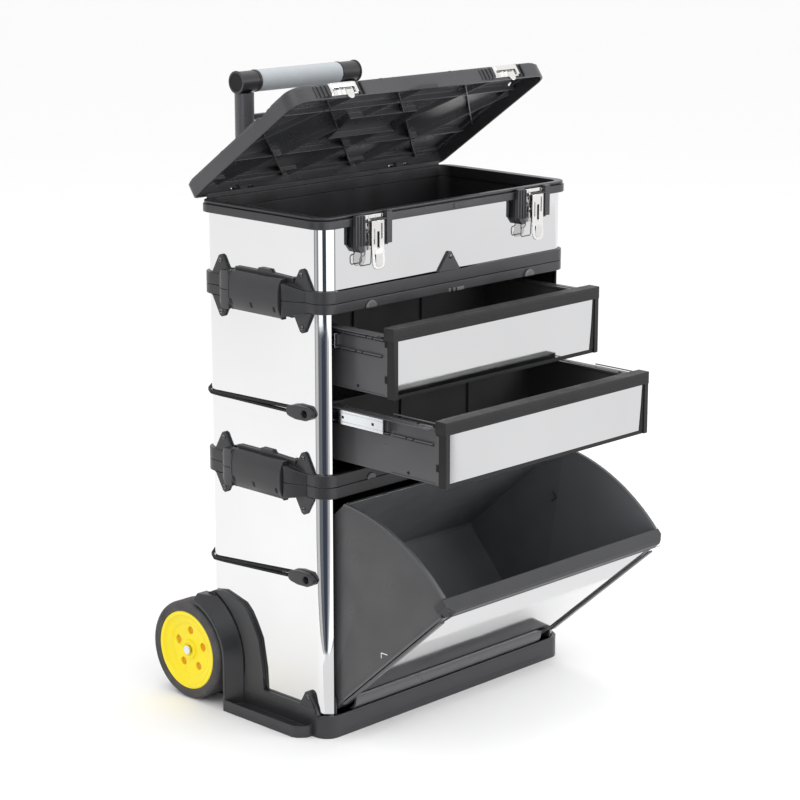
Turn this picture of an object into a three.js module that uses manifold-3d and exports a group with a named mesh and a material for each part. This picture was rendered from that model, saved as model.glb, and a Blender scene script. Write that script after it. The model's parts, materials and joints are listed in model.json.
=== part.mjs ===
// A three-tier rolling tool cart: a lidded box over a two-drawer cabinet over a tip-out bin,
// stacked on a wheeled plastic base with a telescopic handle behind.
// Millimetres. +X is the right of someone facing the cart, the front faces -Y, +Z is up.
import * as THREE from "three";
import { mergeVertices } from "three/addons/utils/BufferGeometryUtils.js";
import Module from "manifold-3d";

const wasm = await Module();
wasm.setup();

// ---- Driving dimensions ----
const GAP = 0.3; // air left between pieces that touch
const BAND = { width: 470, depth: 239, corner: 22 }; // the moulded bands round the boxes
const STEEL = { width: 462, depth: 231, corner: 20 }; // the steel cladding, set in from the bands
const SHEET = 1; // thickness of the steel cladding
const WALL = 2.4; // thickness of the moulded walls
const OPENING_HALF = 217.7; // half width of the cabinet openings

// Heights of the stack.
const LOWER = { floor: 8, bandLow: 327.5, top: 342.9 };
const MIDDLE = { bottom: 343.2, bandTop: 359.2, bandLow: 570, top: 583 };
const UPPER = { bottom: 583.4, bandTop: 599.4, steelTop: 678.7, rimLow: 679, rimTop: 694 };
const RIM = { width: 479, depth: 239.6, corner: 24 };
const LID = { half: 239.5, front: -121, back: 128.5, corner: 24, backCorner: 10 };
const LID_Z = { bottom: 694.4, shoulder: 714, step: 716.5, top: 719, ceiling: 716.6 };

const WHEEL = { y: 136, z: 69, radius: 68.8, hubRadius: 55, inner: 220, outer: 260 };
const AXLE = { radius: 5, headRadius: 6.5, half: 255.5 };
const WHEEL_STEPS = 24; // facets round a tyre and its hub
const WELL_RADIUS = 73; // wheel arch, round the wheel's axis
const FLARE_RADIUS = 94; // the arch widens to this where it meets the cheek plate
const FLARE_TOP = 152; // and is level above this height
const BIN = { pivotY: -104, pivotZ: 47, radius: 277, open: 48.5, back: 85, front: -115, floor: 21.5 };
const LID_HINGE = { y: 126, z: 696, open: 35 };
const DRAWERS = {
  upper: { bottom: 469.5, height: 91.5, out: 87.5, memberOut: 0 },
  lower: { bottom: 371.5, height: 85, out: 177, memberOut: 86 },
};
const DRAWER = { half: 200, depth: 212, frame: 12.7, bar: 16.5, slideUp: 65 };
const LATCH_X = 154; // the two front latches stand this far each side of the middle
const LATCH = { y: -124.5, z: 684, tip: 622, left: -9, right: 13, plateLeft: -17, plateRight: 23.5 };
const BAIL = { y: -126, z: 670, shoulder: 640, foot: 628, lean: 4.8, wire: 1.1 };
const CLAMP = { front: -50, back: 48, rise: 27, height: 53, inner: 235.8, out: 13.5 };
const HANDLE = { y: 178, z: 833, postX: 98, half: 112, tubeRadius: 16.5, postRadius: 13.5 };
const GUSSET_Y = 77; // the pointed gussets stand this far before and behind the middle
const STRAPS = { upper: { front: 438, back: 436 }, lower: { front: 215, back: 204 } };
const STRAND_RADIUS = 1.8;
const STRAND_STEPS = 44;
const FRONT = -BAND.depth / 2;
const ROLL_RADIUS = 20; // the barrel along the bin's lower front edge
const PIVOT_PIN = 4;
const RAIL = { front: -118.5, back: -97, bottom: 303, top: 323.4 }; // the bar along the bin's top front edge

// ---- Materials ----
const finish = (color, roughness, metalness) =>
  new THREE.MeshStandardMaterial({ color, roughness, metalness, flatShading: true });
const PLASTIC = finish(0x3c3c3f, 0.55, 0);
const GLOSS_PLASTIC = finish(0x1c1c1e, 0.25, 0);
const STAINLESS = finish(0xd8dadc, 0.12, 1);
const CHROME = finish(0xe6e6e6, 0.08, 1);
const ZINC = finish(0xb8bcc0, 0.3, 1);
const RUBBER = finish(0x3a3839, 0.8, 0);
const YELLOW = finish(0xf5dc00, 0.4, 0);
const FOAM = finish(0xb2b8bd, 0.9, 0);
const CORD = finish(0x151515, 0.85, 0);

// ---- Solid helpers ----
function solidOf(geometry) {
  const bare = geometry.index ? geometry.toNonIndexed() : geometry.clone();
  bare.deleteAttribute("normal");
  bare.deleteAttribute("uv");
  const merged = mergeVertices(bare, 1e-4);
  return new wasm.Manifold(
    new wasm.Mesh({
      numProp: 3,
      vertProperties: merged.attributes.position.array,
      triVerts: new Uint32Array(merged.index.array),
    }),
  );
}

const join = (...solids) => solids.reduce((whole, next) => whole.add(next));
const cut = (solid, ...tools) => tools.reduce((left, tool) => left.subtract(tool), solid);

function block(x0, x1, y0, y1, z0, z1) {
  const box = new THREE.BoxGeometry(x1 - x0, y1 - y0, z1 - z0);
  return solidOf(box.translate((x0 + x1) / 2, (y0 + y1) / 2, (z0 + z1) / 2));
}

// The same block on the left and on the right, given for the right.
const blockPair = (x0, x1, ...rest) => join(block(x0, x1, ...rest), block(-x1, -x0, ...rest));

const outline = (points) => new THREE.Shape(points.map(([u, v]) => new THREE.Vector2(u, v)));

function circle(u, v, radius, steps = 16) {
  const turn = (i) => (2 * Math.PI * (i + 0.5)) / steps;
  return Array.from({ length: steps }, (_, i) => [
    u + radius * Math.cos(turn(i)),
    v + radius * Math.sin(turn(i)),
  ]);
}

// Points along an arc, both ends included, angles in degrees.
function arc(u, v, radius, from, to, steps) {
  return Array.from({ length: steps + 1 }, (_, i) => {
    const angle = THREE.MathUtils.degToRad(from + ((to - from) * i) / steps);
    return [u + radius * Math.cos(angle), v + radius * Math.sin(angle)];
  });
}

function extrude(shape, depth, basis) {
  const geometry = new THREE.ExtrudeGeometry(shape, { depth, bevelEnabled: false, curveSegments: 4 });
  return solidOf(geometry.applyMatrix4(basis));
}

const AXIS_X = new THREE.Vector3(1, 0, 0);
const AXIS_Y = new THREE.Vector3(0, 1, 0);
const AXIS_Z = new THREE.Vector3(0, 0, 1);

// Prisms of an outline: prismX takes (y, z) points, prismY (x, z) points and prismZ a shape in (x, y).
function prismX(points, x0, x1) {
  const basis = new THREE.Matrix4().makeBasis(AXIS_Y, AXIS_Z, AXIS_X).setPosition(x0, 0, 0);
  return extrude(outline(points), x1 - x0, basis);
}
function prismY(points, y0, y1) {
  const back = AXIS_Y.clone().negate();
  const basis = new THREE.Matrix4().makeBasis(AXIS_X, AXIS_Z, back).setPosition(0, y1, 0);
  return extrude(outline(points), y1 - y0, basis);
}
function prismZ(shape, z0, z1) {
  return extrude(shape, z1 - z0, new THREE.Matrix4().setPosition(0, 0, z0));
}

const prismPair = (points, x0, x1) => join(prismX(points, x0, x1), prismX(points, -x1, -x0));
const rodX = (y, z, radius, x0, x1, steps) => prismX(circle(y, z, radius, steps), x0, x1);
const rodZ = (x, y, radius, z0, z1, steps) => prismZ(outline(circle(x, y, radius, steps)), z0, z1);

// A rectangle with round corners seen from above, as wide to the left as to the right.
function roundRect(half, front, back, corner, backCorner) {
  const shape = new THREE.Shape();
  shape.absarc(half - corner, front + corner, corner, -Math.PI / 2, 0);
  shape.absarc(half - backCorner, back - backCorner, backCorner, 0, Math.PI / 2);
  shape.absarc(backCorner - half, back - backCorner, backCorner, Math.PI / 2, Math.PI);
  shape.absarc(corner - half, front + corner, corner, Math.PI, 1.5 * Math.PI);
  return shape;
}

function slab({ width, depth, corner }, z0, z1, inset = 0) {
  const [half, back, round] = [width / 2 - inset, depth / 2 - inset, corner - inset];
  return prismZ(roundRect(half, -back, back, round, round), z0, z1);
}

const mirrored = (points) => points.map(([x, y]) => [-x, y]);

// An upright wall that follows a rounded rectangle, its outside set in by inset.
const wallRing = (size, thickness, z0, z1, inset = 0) =>
  cut(slab(size, z0, z1, inset), slab(size, z0 - 1, z1 + 1, inset + thickness));

// A solid turned about X: profile points are (radius, x).
function turned(profile, steps) {
  const lathe = new THREE.LatheGeometry(profile.map(([r, x]) => new THREE.Vector2(r, x)), steps);
  return solidOf(lathe.rotateZ(-Math.PI / 2));
}

function place(parent, name, solid, material) {
  const mesh = solid.getMesh();
  const geometry = new THREE.BufferGeometry();
  geometry.setAttribute("position", new THREE.BufferAttribute(mesh.vertProperties, 3));
  geometry.setIndex(new THREE.BufferAttribute(mesh.triVerts, 1));
  geometry.computeVertexNormals();
  const piece = new THREE.Mesh(geometry, material);
  piece.name = name;
  parent.add(piece);
  return piece;
}

const cart = new THREE.Group();
const SIDES = [
  ["left", -1],
  ["right", 1],
];

// ---- Base: floor, rim, side outriggers, wheel arches and the deck that holds the handle tubes ----
// The space round each wheel, kept clear of the base (radius WELL_RADIUS) and of the cabinet.
const wheelBay = (radius, inner) =>
  join(
    prismPair(circle(WHEEL.y, WHEEL.z, radius, 28), inner, WHEEL.outer + 5),
    blockPair(inner, WHEEL.outer + 5, WHEEL.y - radius, WHEEL.y + radius, -1, WHEEL.z),
  );

const plate = (halfWidth, y0, y1, z0, z1) => block(-halfWidth, halfWidth, y0, y1, z0, z1);

// A ring round both wheels' axis between two radii.
const archRing = (outer, inner, x0, x1) =>
  cut(
    prismPair(circle(WHEEL.y, WHEEL.z, outer, 28), x0, x1),
    prismPair(circle(WHEEL.y, WHEEL.z, inner, 28), x0 - 1, x1 + 1),
  );

// The arch's outside, which widens from its outer edge to where it meets the cheek plate.
function archFlare() {
  const [edge, root, wall] = [257, 238, STEEL.width / 2 + GAP];
  const lip = WELL_RADIUS + 3;
  const section = [
    [WELL_RADIUS, -edge],
    [lip, -edge],
    [FLARE_RADIUS, -root],
    [FLARE_RADIUS, -wall],
    [WELL_RADIUS, -wall],
    [WELL_RADIUS, -edge],
  ];
  const ring = turned(section, 28).translate([0, WHEEL.y, WHEEL.z]);
  const upper = ring.intersect(block(-edge - 1, -wall + 1, 30, 122.6, WHEEL.z, FLARE_TOP));
  const foot = section.slice(0, -1).map(([r, x]) => [x, WHEEL.y - r]);
  const half = join(upper, prismZ(outline(foot), 0, WHEEL.z));
  return join(half, half.mirror([1, 0, 0]));
}

function base() {
  const archRadius = WELL_RADIUS + 4;
  const rimTop = 39.5;
  const frontTop = 31;
  const rim = cut(
    slab({ width: 473.2, depth: BAND.depth, corner: BAND.corner }, 0, rimTop),
    slab({ width: STEEL.width + 1, depth: STEEL.depth + 0.8, corner: 20.3 }, LOWER.floor - GAP, rimTop + 1),
    plate(BAND.width, FRONT - 1, -97, frontTop, rimTop + 1),
  );
  const runner = (inset) => [
    [230, -92 + inset],
    [246 - inset / 2, -90 + inset],
    [255 - inset, -82 + inset],
    [258 - inset, -75],
    [258 - inset, 62],
    [230, 62],
  ];
  const tray = (outer, inner) => cut(prismZ(outline(outer), 0, 16), prismZ(outline(inner), 11, 17));
  const floorAndFlanks = join(
    rim,
    cut(tray(runner(0), runner(3.5)), slab(STEEL, 8, 20)),
    cut(tray(mirrored(runner(0)), mirrored(runner(3.5))), slab(STEEL, 8, 20)),
  );
  const arch = [
    ...arc(WHEEL.y, WHEEL.z, archRadius, 100, 180, 7),
    [WHEEL.y - archRadius, 0],
    [WHEEL.y - WELL_RADIUS, 0],
    ...arc(WHEEL.y, WHEEL.z, WELL_RADIUS, 180, 100, 7),
  ];
  const cheek = [
    [2, 20],
    [5, 68],
    [12.6, 109],
    [23, 128],
    [33, 143],
    [44, 152.5],
    [64, 157.5],
    [82, 162],
    [100, 159],
    [119, 150],
    [119, 20],
  ];
  const wellWall = [
    ...arc(WHEEL.y, WHEEL.z, archRadius, 95, 180, 6),
    [WHEEL.y - archRadius, 0],
    [152, 0],
    [152, 100],
  ];
  const tab = [[-103, 28], [-64, 34], ...arc(-83, 53.5, 7, 15, 165, 6)];
  const sideFace = STEEL.width / 2 + GAP;
  const deck = cut(plate(150, 112, 202, 0, 60), plate(146, 121, 198, -1, 56));
  const saddles = blockPair(134, 150, 124, 148, 40, 80);
  const socket = (x) => rodZ(x, HANDLE.y, HANDLE.tubeRadius + 4, 0, 62);
  const bore = (x) => rodZ(x, HANDLE.y, HANDLE.tubeRadius + GAP, 4, 63);
  const whole = join(
    floorAndFlanks,
    prismPair(arch, 213.4, 257),
    cut(prismPair(cheek, sideFace, 236.6), archRing(FLARE_RADIUS + 2.2, FLARE_RADIUS, 234, 240)),
    archFlare(),
    prismPair(wellWall, 213.4, 216.4),
    prismPair(tab, sideFace, 236.4),
    cut(deck, slab(STEEL, LOWER.floor - GAP, 70, -0.5)),
    saddles,
    socket(-HANDLE.postX),
    socket(HANDLE.postX),
  );
  const hollowed = cut(
    whole,
    wheelBay(WELL_RADIUS, 216.4),
    bore(-HANDLE.postX),
    bore(HANDLE.postX),
    rodX(WHEEL.y, WHEEL.z, AXLE.radius + GAP, -270, 270),
    rodX(BIN.pivotY, BIN.pivotZ, ROLL_RADIUS + 0.8, -192, 192, 20),
  );
  const lug = [
    [-115, 5],
    [-90, 5],
    [-93, 54],
    [-99, 60],
    [-109, 60],
    [-115, 54],
  ];
  const pin = circle(BIN.pivotY, BIN.pivotZ, PIVOT_PIN, 16);
  return join(hollowed, prismPair(lug, 213.4, 216.4), prismPair(pin, 206, 215));
}

// ---- Wheels ----
// Each is made for the left, its outer face towards -X, round an axis through the origin.
const wheelWidth = WHEEL.outer - WHEEL.inner;
const face = -wheelWidth / 2;

function tyre() {
  const tread = WHEEL.radius;
  return turned(
    [
      [WHEEL.hubRadius + GAP, face + 1],
      [tread - 5, face],
      [tread, face + 6],
      [tread, -face - 6],
      [tread - 5, -face],
      [WHEEL.hubRadius + GAP, -face - 1],
      [WHEEL.hubRadius + GAP, face + 1],
    ],
    WHEEL_STEPS,
  );
}

function hub() {
  const web = face + 10;
  const body = turned(
    [
      [AXLE.radius + GAP, face + 5],
      [13, face + 5],
      [15, web],
      [40, web],
      [48, face + 2],
      [WHEEL.hubRadius, face + 1],
      [WHEEL.hubRadius, -face - 2],
      [WHEEL.hubRadius - 4, -face - 2],
      [WHEEL.hubRadius - 6, web + 4],
      [14, web + 4],
      [12, -face - 2],
      [AXLE.radius + GAP, -face - 2],
      [AXLE.radius + GAP, face + 5],
    ],
    WHEEL_STEPS,
  );
  const recesses = arc(0, 0, 27, 90, 378, 4).map(([y, z]) => rodX(y, z, 5, face, web + 2, 8));
  return cut(body, ...recesses);
}

// The axle, its ends riveted over to keep the wheels on.
const axle = () =>
  join(
    rodX(WHEEL.y, WHEEL.z, AXLE.radius, -AXLE.half, AXLE.half),
    prismPair(circle(WHEEL.y, WHEEL.z, AXLE.headRadius), AXLE.half, AXLE.half + 3),
  );

// ---- Cabinets ----
const frontOpening = (z0, z1) => plate(OPENING_HALF, FRONT - 1, -100, z0, z1);
const carcassWall = { width: STEEL.width - 2 * SHEET - 2 * GAP, depth: STEEL.depth - 2 * SHEET - 2 * GAP };
const CARCASS = { ...carcassWall, corner: STEEL.corner - SHEET - GAP };
const band = (z0, z1) => cut(slab(BAND, z0, z1), slab(CARCASS, z0 - 1, z1 + 1, 1));

// A pointed gusset on a band's side, its root at rootZ and its tip at tipZ, on both sides of the cart.
function gussets(rootZ, tipZ) {
  const sign = Math.sign(tipZ - rootZ);
  const point = (y) => [
    [y - 20, rootZ - 2 * sign],
    [y + 20, rootZ - 2 * sign],
    [y + 4, tipZ - 2 * sign],
    [y, tipZ],
    [y - 4, tipZ - 2 * sign],
  ];
  const pair = (y) => prismPair(point(y), STEEL.width / 2 + GAP, BAND.width / 2 - 0.2);
  return join(pair(-GUSSET_Y), pair(GUSSET_Y));
}

// Blocks that lead a band's side out to the clamps, before and behind them, and the plate at their back.
// They stand on one side of the gap between two boxes: above it (up is 1) or below it (up is -1).
function shoulders(gap, up) {
  const inner = BAND.width / 2 - 1;
  const front = CLAMP.front - 2 * GAP;
  const back = CLAMP.back + 2 * GAP;
  const lead = [
    [inner, front - 35],
    [inner + 2, front - 33],
    [inner + 9, front - 18],
    [inner + 13, front - 6],
    [inner + 13, front],
    [inner, front],
  ];
  const trail = [
    [inner, back],
    [inner + 13, back],
    [inner + 13, back + 14],
    [inner + 9, back + 22],
    [inner + 2, back + 30],
    [inner, back + 32],
  ];
  const sides = [
    [front - 36, gap],
    [front - 36, gap + 14 * up],
    [front, gap + 22 * up],
    [back, gap + 25 * up],
    [back + 16, gap + 25 * up],
    [back + 26, gap + 15 * up],
    [back + 34, gap + 12 * up],
    [back + 34, gap],
  ];
  const plans = [lead, trail, mirrored(lead), mirrored(trail)];
  const levels = [gap, gap + 30 * up].sort((low, high) => low - high);
  const ends = join(...plans.map((plan) => prismZ(outline(plan), ...levels)));
  return ends.intersect(prismX(sides, -BAND.width, BAND.width));
}

// The strip that stands behind and above a clamp, with a raised tab.
function clampBacking(gap) {
  const { front, back, rise, inner } = CLAMP;
  const top = gap + rise + 3.5;
  const strip = [
    [front - 12, gap + 10],
    [front - 12, top - 2],
    [-21, top],
    [-18, top + 4],
    [3, top + 4],
    [6, top],
    [back, top],
    [back, gap + 10],
  ];
  return prismPair(strip, STEEL.width / 2 + GAP, inner - GAP);
}

const cabinetBay = () => wheelBay(WELL_RADIUS + 4.5, 213);

function steelWrap(z0, z1, open) {
  const wrap = wallRing(STEEL, SHEET, z0, z1);
  return open ? cut(wrap, plate(OPENING_HALF + 0.5, FRONT, -100, z0 - 1, z1 + 1)) : wrap;
}

function lowerCarcass() {
  const walls = wallRing(CARCASS, WALL, LOWER.floor, LOWER.top - 8);
  const roof = slab(CARCASS, 331, LOWER.top - 8);
  const whole = join(
    walls,
    roof,
    band(LOWER.bandLow, LOWER.top),
    shoulders(LOWER.top, -1),
    gussets(LOWER.bandLow + 1, 301.5),
  );
  return cut(whole, frontOpening(LOWER.floor - 1, LOWER.bandLow), cabinetBay());
}

function middleCarcass() {
  const { bottom, bandTop, bandLow, top } = MIDDLE;
  const whole = join(
    wallRing(CARCASS, WALL, bottom, top),
    slab(CARCASS, bottom + 4, bottom + 7),
    slab(CARCASS, top - 7, top - 4),
    band(bottom, bandTop),
    band(bandLow, top),
    shoulders(bottom, 1),
    clampBacking(bottom),
    shoulders(top, -1),
    gussets(bandTop - 1, 386),
    gussets(bandLow + 1, 542),
  );
  return cut(whole, frontOpening(bandTop, bandLow));
}

function topTub() {
  const { bottom, bandTop, rimLow } = UPPER;
  const crest = [
    [-26, bandTop - 2],
    [17, bandTop - 2],
    [-1, bandTop + 25],
    [-5, bandTop + 25],
  ];
  return join(
    wallRing(CARCASS, WALL, bottom, rimLow - 0.5),
    slab(CARCASS, bottom + 4, bottom + 7),
    band(bottom, bandTop),
    shoulders(bottom, 1),
    clampBacking(bottom),
    gussets(bandTop - 1, 626),
    prismY(crest, FRONT + 0.2, -STEEL.depth / 2 - GAP),
  );
}

// Knuckles of one hinge, on the rim (the outer two) or on the lid (the middle one).
const hingeMiddle = 150;
const knuckle = (x0, x1) => rodX(LID_HINGE.y, LID_HINGE.z, 4.6, x0, x1, 16);
const hingeBore = (centre) => rodX(LID_HINGE.y, LID_HINGE.z, 2.4, centre - 30, centre + 30, 12);

function topRim() {
  const { rimLow, rimTop } = UPPER;
  const [ledge, grooveLow, grooveTop] = [rimLow + 5, rimLow + 10.5, rimLow + 12];
  const mouth = slab(CARCASS, rimLow - 1, rimTop + 1, 5);
  const outside = join(
    slab(RIM, rimLow, grooveLow),
    slab(RIM, grooveLow, grooveTop, 3.5),
    slab(RIM, grooveTop, rimTop, 1.5),
  );
  const ring = cut(outside, mouth);
  const ears = (centre) => {
    const ear = (x0, x1) =>
      join(knuckle(x0, x1), block(x0, x1, 116, LID_HINGE.y + 3, ledge, LID_HINGE.z - 3.2));
    return cut(join(ear(centre - 18, centre - 8), ear(centre + 8, centre + 18)), hingeBore(centre));
  };
  const clear = plate(240, 100, 120.3, rimTop, 705);
  return join(ring, cut(ears(-hingeMiddle), clear), cut(ears(hingeMiddle), clear));
}

// ---- Lid, made shut and turned open round its hinge ----
function lidSlab(z0, z1, inset) {
  const { half, front, back, corner, backCorner } = LID;
  const rearRound = Math.max(backCorner - inset, 2);
  return prismZ(roundRect(half - inset, front + inset, back - inset, corner - inset, rearRound), z0, z1);
}

// Crossed and lengthwise ribs under the lid's top, with a plain recess in the middle.
function lidRibs() {
  const [low, high] = [708, LID_Z.ceiling + 0.4];
  const [halfWidth, halfDepth, wall] = [62, 26, 2];
  const ribs = [plate(235, 57, 57 + wall, low, high), plate(235, -57 - wall, -57, low, high)];
  for (const step of [-1.5, -0.5, 0.5, 1.5]) {
    for (const turn of [45, -45]) {
      const rib = new THREE.BoxGeometry(700, wall, high - low);
      rib.rotateZ(THREE.MathUtils.degToRad(turn)).translate(step * 130, 0, (low + high) / 2);
      ribs.push(solidOf(rib));
    }
  }
  const recess = plate(halfWidth, -halfDepth, halfDepth, low - 1, high + 1);
  const recessWall = cut(plate(halfWidth + wall, -halfDepth - wall, halfDepth + wall, low, high), recess);
  const inside = plate(LID.half - 2, LID.front + 2, LID.back - 2, low, high);
  return join(cut(join(...ribs), recess).intersect(inside), recessWall);
}

function lid() {
  const { bottom, shoulder, step, top, ceiling } = LID_Z;
  const wall = 3;
  const crown = join(lidSlab(bottom, shoulder, 0), lidSlab(shoulder, step, 2.5), lidSlab(step, top, 6));
  const hollow = join(lidSlab(bottom - 1, shoulder - 2.5, wall), lidSlab(bottom, ceiling, 14));
  const notch = [
    [-40, top + 1],
    [-42, top - 6.5],
    [-55, top - 6.5],
    [-74, top + 1],
  ];
  const { y, z } = LID_HINGE;
  const hingeRoom = (centre) => block(centre - 19, centre + 19, y - 5.5, y + 6, bottom - 1, z + 6);
  const middleKnuckle = (centre) => {
    const [x0, x1] = [centre - 7.5, centre + 7.5];
    const web = block(x0, x1, y - 4.5, LID.back - 0.1, z + 1, z + 7);
    return cut(join(knuckle(x0, x1), web), hingeBore(centre));
  };
  const shell = cut(
    join(cut(crown, hollow), lidRibs()),
    prismPair(notch, LID.half - 14, LID.half + 1),
    hingeRoom(-hingeMiddle),
    hingeRoom(hingeMiddle),
  );
  return join(shell, middleKnuckle(-hingeMiddle), middleKnuckle(hingeMiddle));
}

// The catch on the lid's front face that a latch's wire bail hooks over.
function lidCatch(x) {
  const y = LID.front - GAP;
  const profile = [
    [y, 697],
    [y, 714],
    [y - 4, 714],
    [y - 5.5, 711],
    [y - 2.4, 708],
    [y - 2.4, 697],
  ];
  return prismX(profile, x - 24, x + 24);
}

// ---- Front latches: bracket, plate, lever and wire bail ----
const WALL_FACE = -STEEL.depth / 2 - GAP; // what is fixed to the steel front starts here
const RIM_FACE = -RIM.depth / 2 - GAP;

function latchBracket(x) {
  const front = -126.5;
  const { rimLow, rimTop } = UPPER;
  const cheek = (x0, x1, low) =>
    join(
      block(x + x0, x + x1, front, WALL_FACE, low, rimLow - GAP),
      block(x + x0, x + x1, front, RIM_FACE, rimLow - 1, rimTop - 2 * GAP),
    );
  return join(
    block(x - 34, x + 33, -119.9, WALL_FACE, 649, rimLow - GAP),
    cheek(-34.5, LATCH.plateLeft - GAP, 645),
    cheek(LATCH.plateRight + GAP, 33.5, 652),
    rodX(LATCH.y, LATCH.z, 1.8, x - 18, x + 25, 12),
  );
}

const latchPlate = (x) => block(x + LATCH.plateLeft, x + LATCH.plateRight, -121.6, -120.2, 646, 691);

function latchLever(x) {
  const { y, z, tip, left, right } = LATCH;
  const sheet = 1.5;
  const frontFace = [
    [y - 8, z + 1],
    [y - 6.5, z + 1],
    [y - 6.5, z - 34],
    [y - 8.5, tip],
    [y - 10, tip],
    [y - 8, z - 34],
  ];
  const earSide = [
    [y - 7, z + 1],
    [y - 1, z + 2.4],
    [y + 2.1, z + 1.2],
    [y + 2.3, z - 1],
    [y + 1.5, z - 16],
    [y - 7, z - 22],
  ];
  const ear = (x0) => prismX(earSide, x + x0, x + x0 + sheet);
  const whole = join(prismX(frontFace, x + left, x + right), ear(left), ear(right - sheet));
  return cut(whole, rodX(y, z, 2.1, x - 20, x + 20, 12), rodX(BAIL.y, BAIL.z, BAIL.wire + 0.4, x - 20, x + 20, 10));
}

// The wire loop hangs from the lever and widens to the left below a shoulder.
function latchBail(x) {
  const { y, z, shoulder, foot, lean, wire } = BAIL;
  const [far, near, inside] = [x - 23, x - 14.5, x - 3];
  const depthAt = (height) => y + (lean * (z - height)) / (z - foot);
  const leg = (at, high, low) => {
    const [top, bottom] = [depthAt(high), depthAt(low)];
    const side = [
      [top - wire, high],
      [top + wire, high],
      [bottom + wire, low],
      [bottom - wire, low],
    ];
    return prismX(side, at - wire, at + wire);
  };
  const cross = (height, x0, x1) => rodX(depthAt(height), height, wire * 1.1, x0 - wire, x1 + wire, 10);
  return join(
    leg(inside, z, foot),
    leg(near, z, shoulder),
    leg(far, shoulder, foot),
    cross(z, near, inside),
    cross(shoulder, far, near),
    cross(foot, far, inside),
  );
}

// ---- Side clamps that lock one box to the next, hinged along their top inner edge ----
function sideClamp(side, gap) {
  const { front, back, rise, height, inner, out } = CLAMP;
  const [outer, top] = [inner + out, gap + rise];
  const profile = (swell) => [
    [inner, top],
    [outer - 5 + swell, top],
    [outer + swell, top - 6],
    [outer - 1 + swell, top - 34],
    [outer - 4 + swell, top - height],
    [inner, top - height],
  ];
  const body = join(prismY(profile(0), front, back), prismY(profile(1.5), front, front + 4));
  const slots = [-39, 4.5, 44].map((y) => block(outer - 8, outer + 1, y - 2, y + 2, top - 49, top - 42));
  const made = cut(body, ...slots);
  return side > 0 ? made : made.mirror([1, 0, 0]);
}

// ---- Drawers. Shut, a drawer's front stands at FRONT; y here runs back from that front. ----
function drawerTray({ bottom, height }) {
  const top = bottom + height;
  const { depth, frame } = DRAWER;
  const outer = 197.5;
  const sides = top - 9;
  const shell = cut(
    plate(outer, frame + GAP, depth, bottom + 2, sides),
    plate(outer - 2.2, frame + 2.6, depth - 2.2, bottom + 4.4, top),
  );
  const bar = cut(
    plate(outer + 1.5, frame + GAP, depth + 1, sides - 3, sides),
    plate(outer - 4, frame + 5, depth - 5, sides - 4, sides + 1),
  );
  const slide = bottom + DRAWER.slideUp;
  const member = blockPair(outer - 1, 204.2, 96, 205, slide - 7, slide + 7);
  const frontClear = plate(DRAWER.half + 1, -1, 18.4, top - DRAWER.bar - GAP, top + 1);
  return cut(join(shell, bar, member), frontClear);
}

function drawerFrame({ bottom, height }) {
  const top = bottom + height;
  const { half, frame, bar } = DRAWER;
  return join(
    plate(half, 0, 18, top - bar, top),
    blockPair(191.6, 199, 0, frame, bottom, top - bar + 1),
    plate(192, 4, 6.4, bottom, top - bar + 1),
    plate(192, 2.4, 9, bottom, bottom + 5),
  );
}

const drawerPanel = ({ bottom, height }) =>
  plate(191.3, 2.4, 3.7, bottom + 5.3, bottom + height - DRAWER.bar - GAP);

// Fixed slide rail on the cabinet's side and the zinc member that runs between it and the drawer.
function slideRail(side, z) {
  const rail = cut(block(211, 227, -97, 92, z - 11, z + 11), block(210, 214, -98, 93, z - 7, z + 7));
  return side > 0 ? rail : rail.mirror([1, 0, 0]);
}
function slideMember(side, z) {
  const channel = cut(
    block(204.6, 210.6, -112, 88, z - 9.5, z + 9.5),
    block(204, 209.2, -113, 89, z - 7.6, z + 7.6),
  );
  return side > 0 ? channel : channel.mirror([1, 0, 0]);
}

// ---- Tip-out bin, made shut and turned open round its pivot ----
const binSweep = (inner, outer) => {
  const { pivotY, pivotZ, front, back } = BIN;
  const at = (y, radius) => THREE.MathUtils.radToDeg(Math.acos((y - pivotY) / radius));
  return [
    ...arc(pivotY, pivotZ, outer, at(back, outer), at(front, outer), 16),
    ...arc(pivotY, pivotZ, inner, at(front, inner), at(back, inner), 16),
  ];
};

function binTub() {
  const { pivotY, pivotZ, radius, front, back, floor } = BIN;
  const at = (y) => THREE.MathUtils.radToDeg(Math.acos((y - pivotY) / radius));
  const sideProfile = [
    ...arc(pivotY, pivotZ, radius, at(back), at(front), 20),
    [front, floor + 8],
    [front + 8, floor],
    [back - 6, floor],
    [back, floor + 6],
  ];
  const outer = 211;
  const [inner, wall] = [outer - 2.5, 2.5];
  const full = prismX(sideProfile, -outer, outer);
  const inside = sideProfile.map(([y, z]) => [
    Math.min(Math.max(y, front + wall), back - wall),
    z > 200 ? z + 20 : Math.max(z, floor + wall),
  ]);
  const tub = cut(full, prismX(inside, -inner, inner));
  const lip = prismPair(binSweep(radius - 3, radius), inner, 213);
  const edge = blockPair(inner, 213, front, front + 3, 70, 305);
  const roll = rodX(pivotY, pivotZ, ROLL_RADIUS, -186, 186, 24);
  const rollBore = rodX(pivotY, pivotZ, ROLL_RADIUS - 3, -187, 187, 24);
  const railRoom = plate(220, FRONT - 5, RAIL.back + GAP, RAIL.bottom - GAP, 340);
  return cut(
    join(tub, lip, edge, cut(roll, rollBore, block(-187, 187, -104, -80, 20, 80))),
    rodX(pivotY, pivotZ, PIVOT_PIN + GAP, -215, 215, 16),
    railRoom,
  );
}

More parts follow.
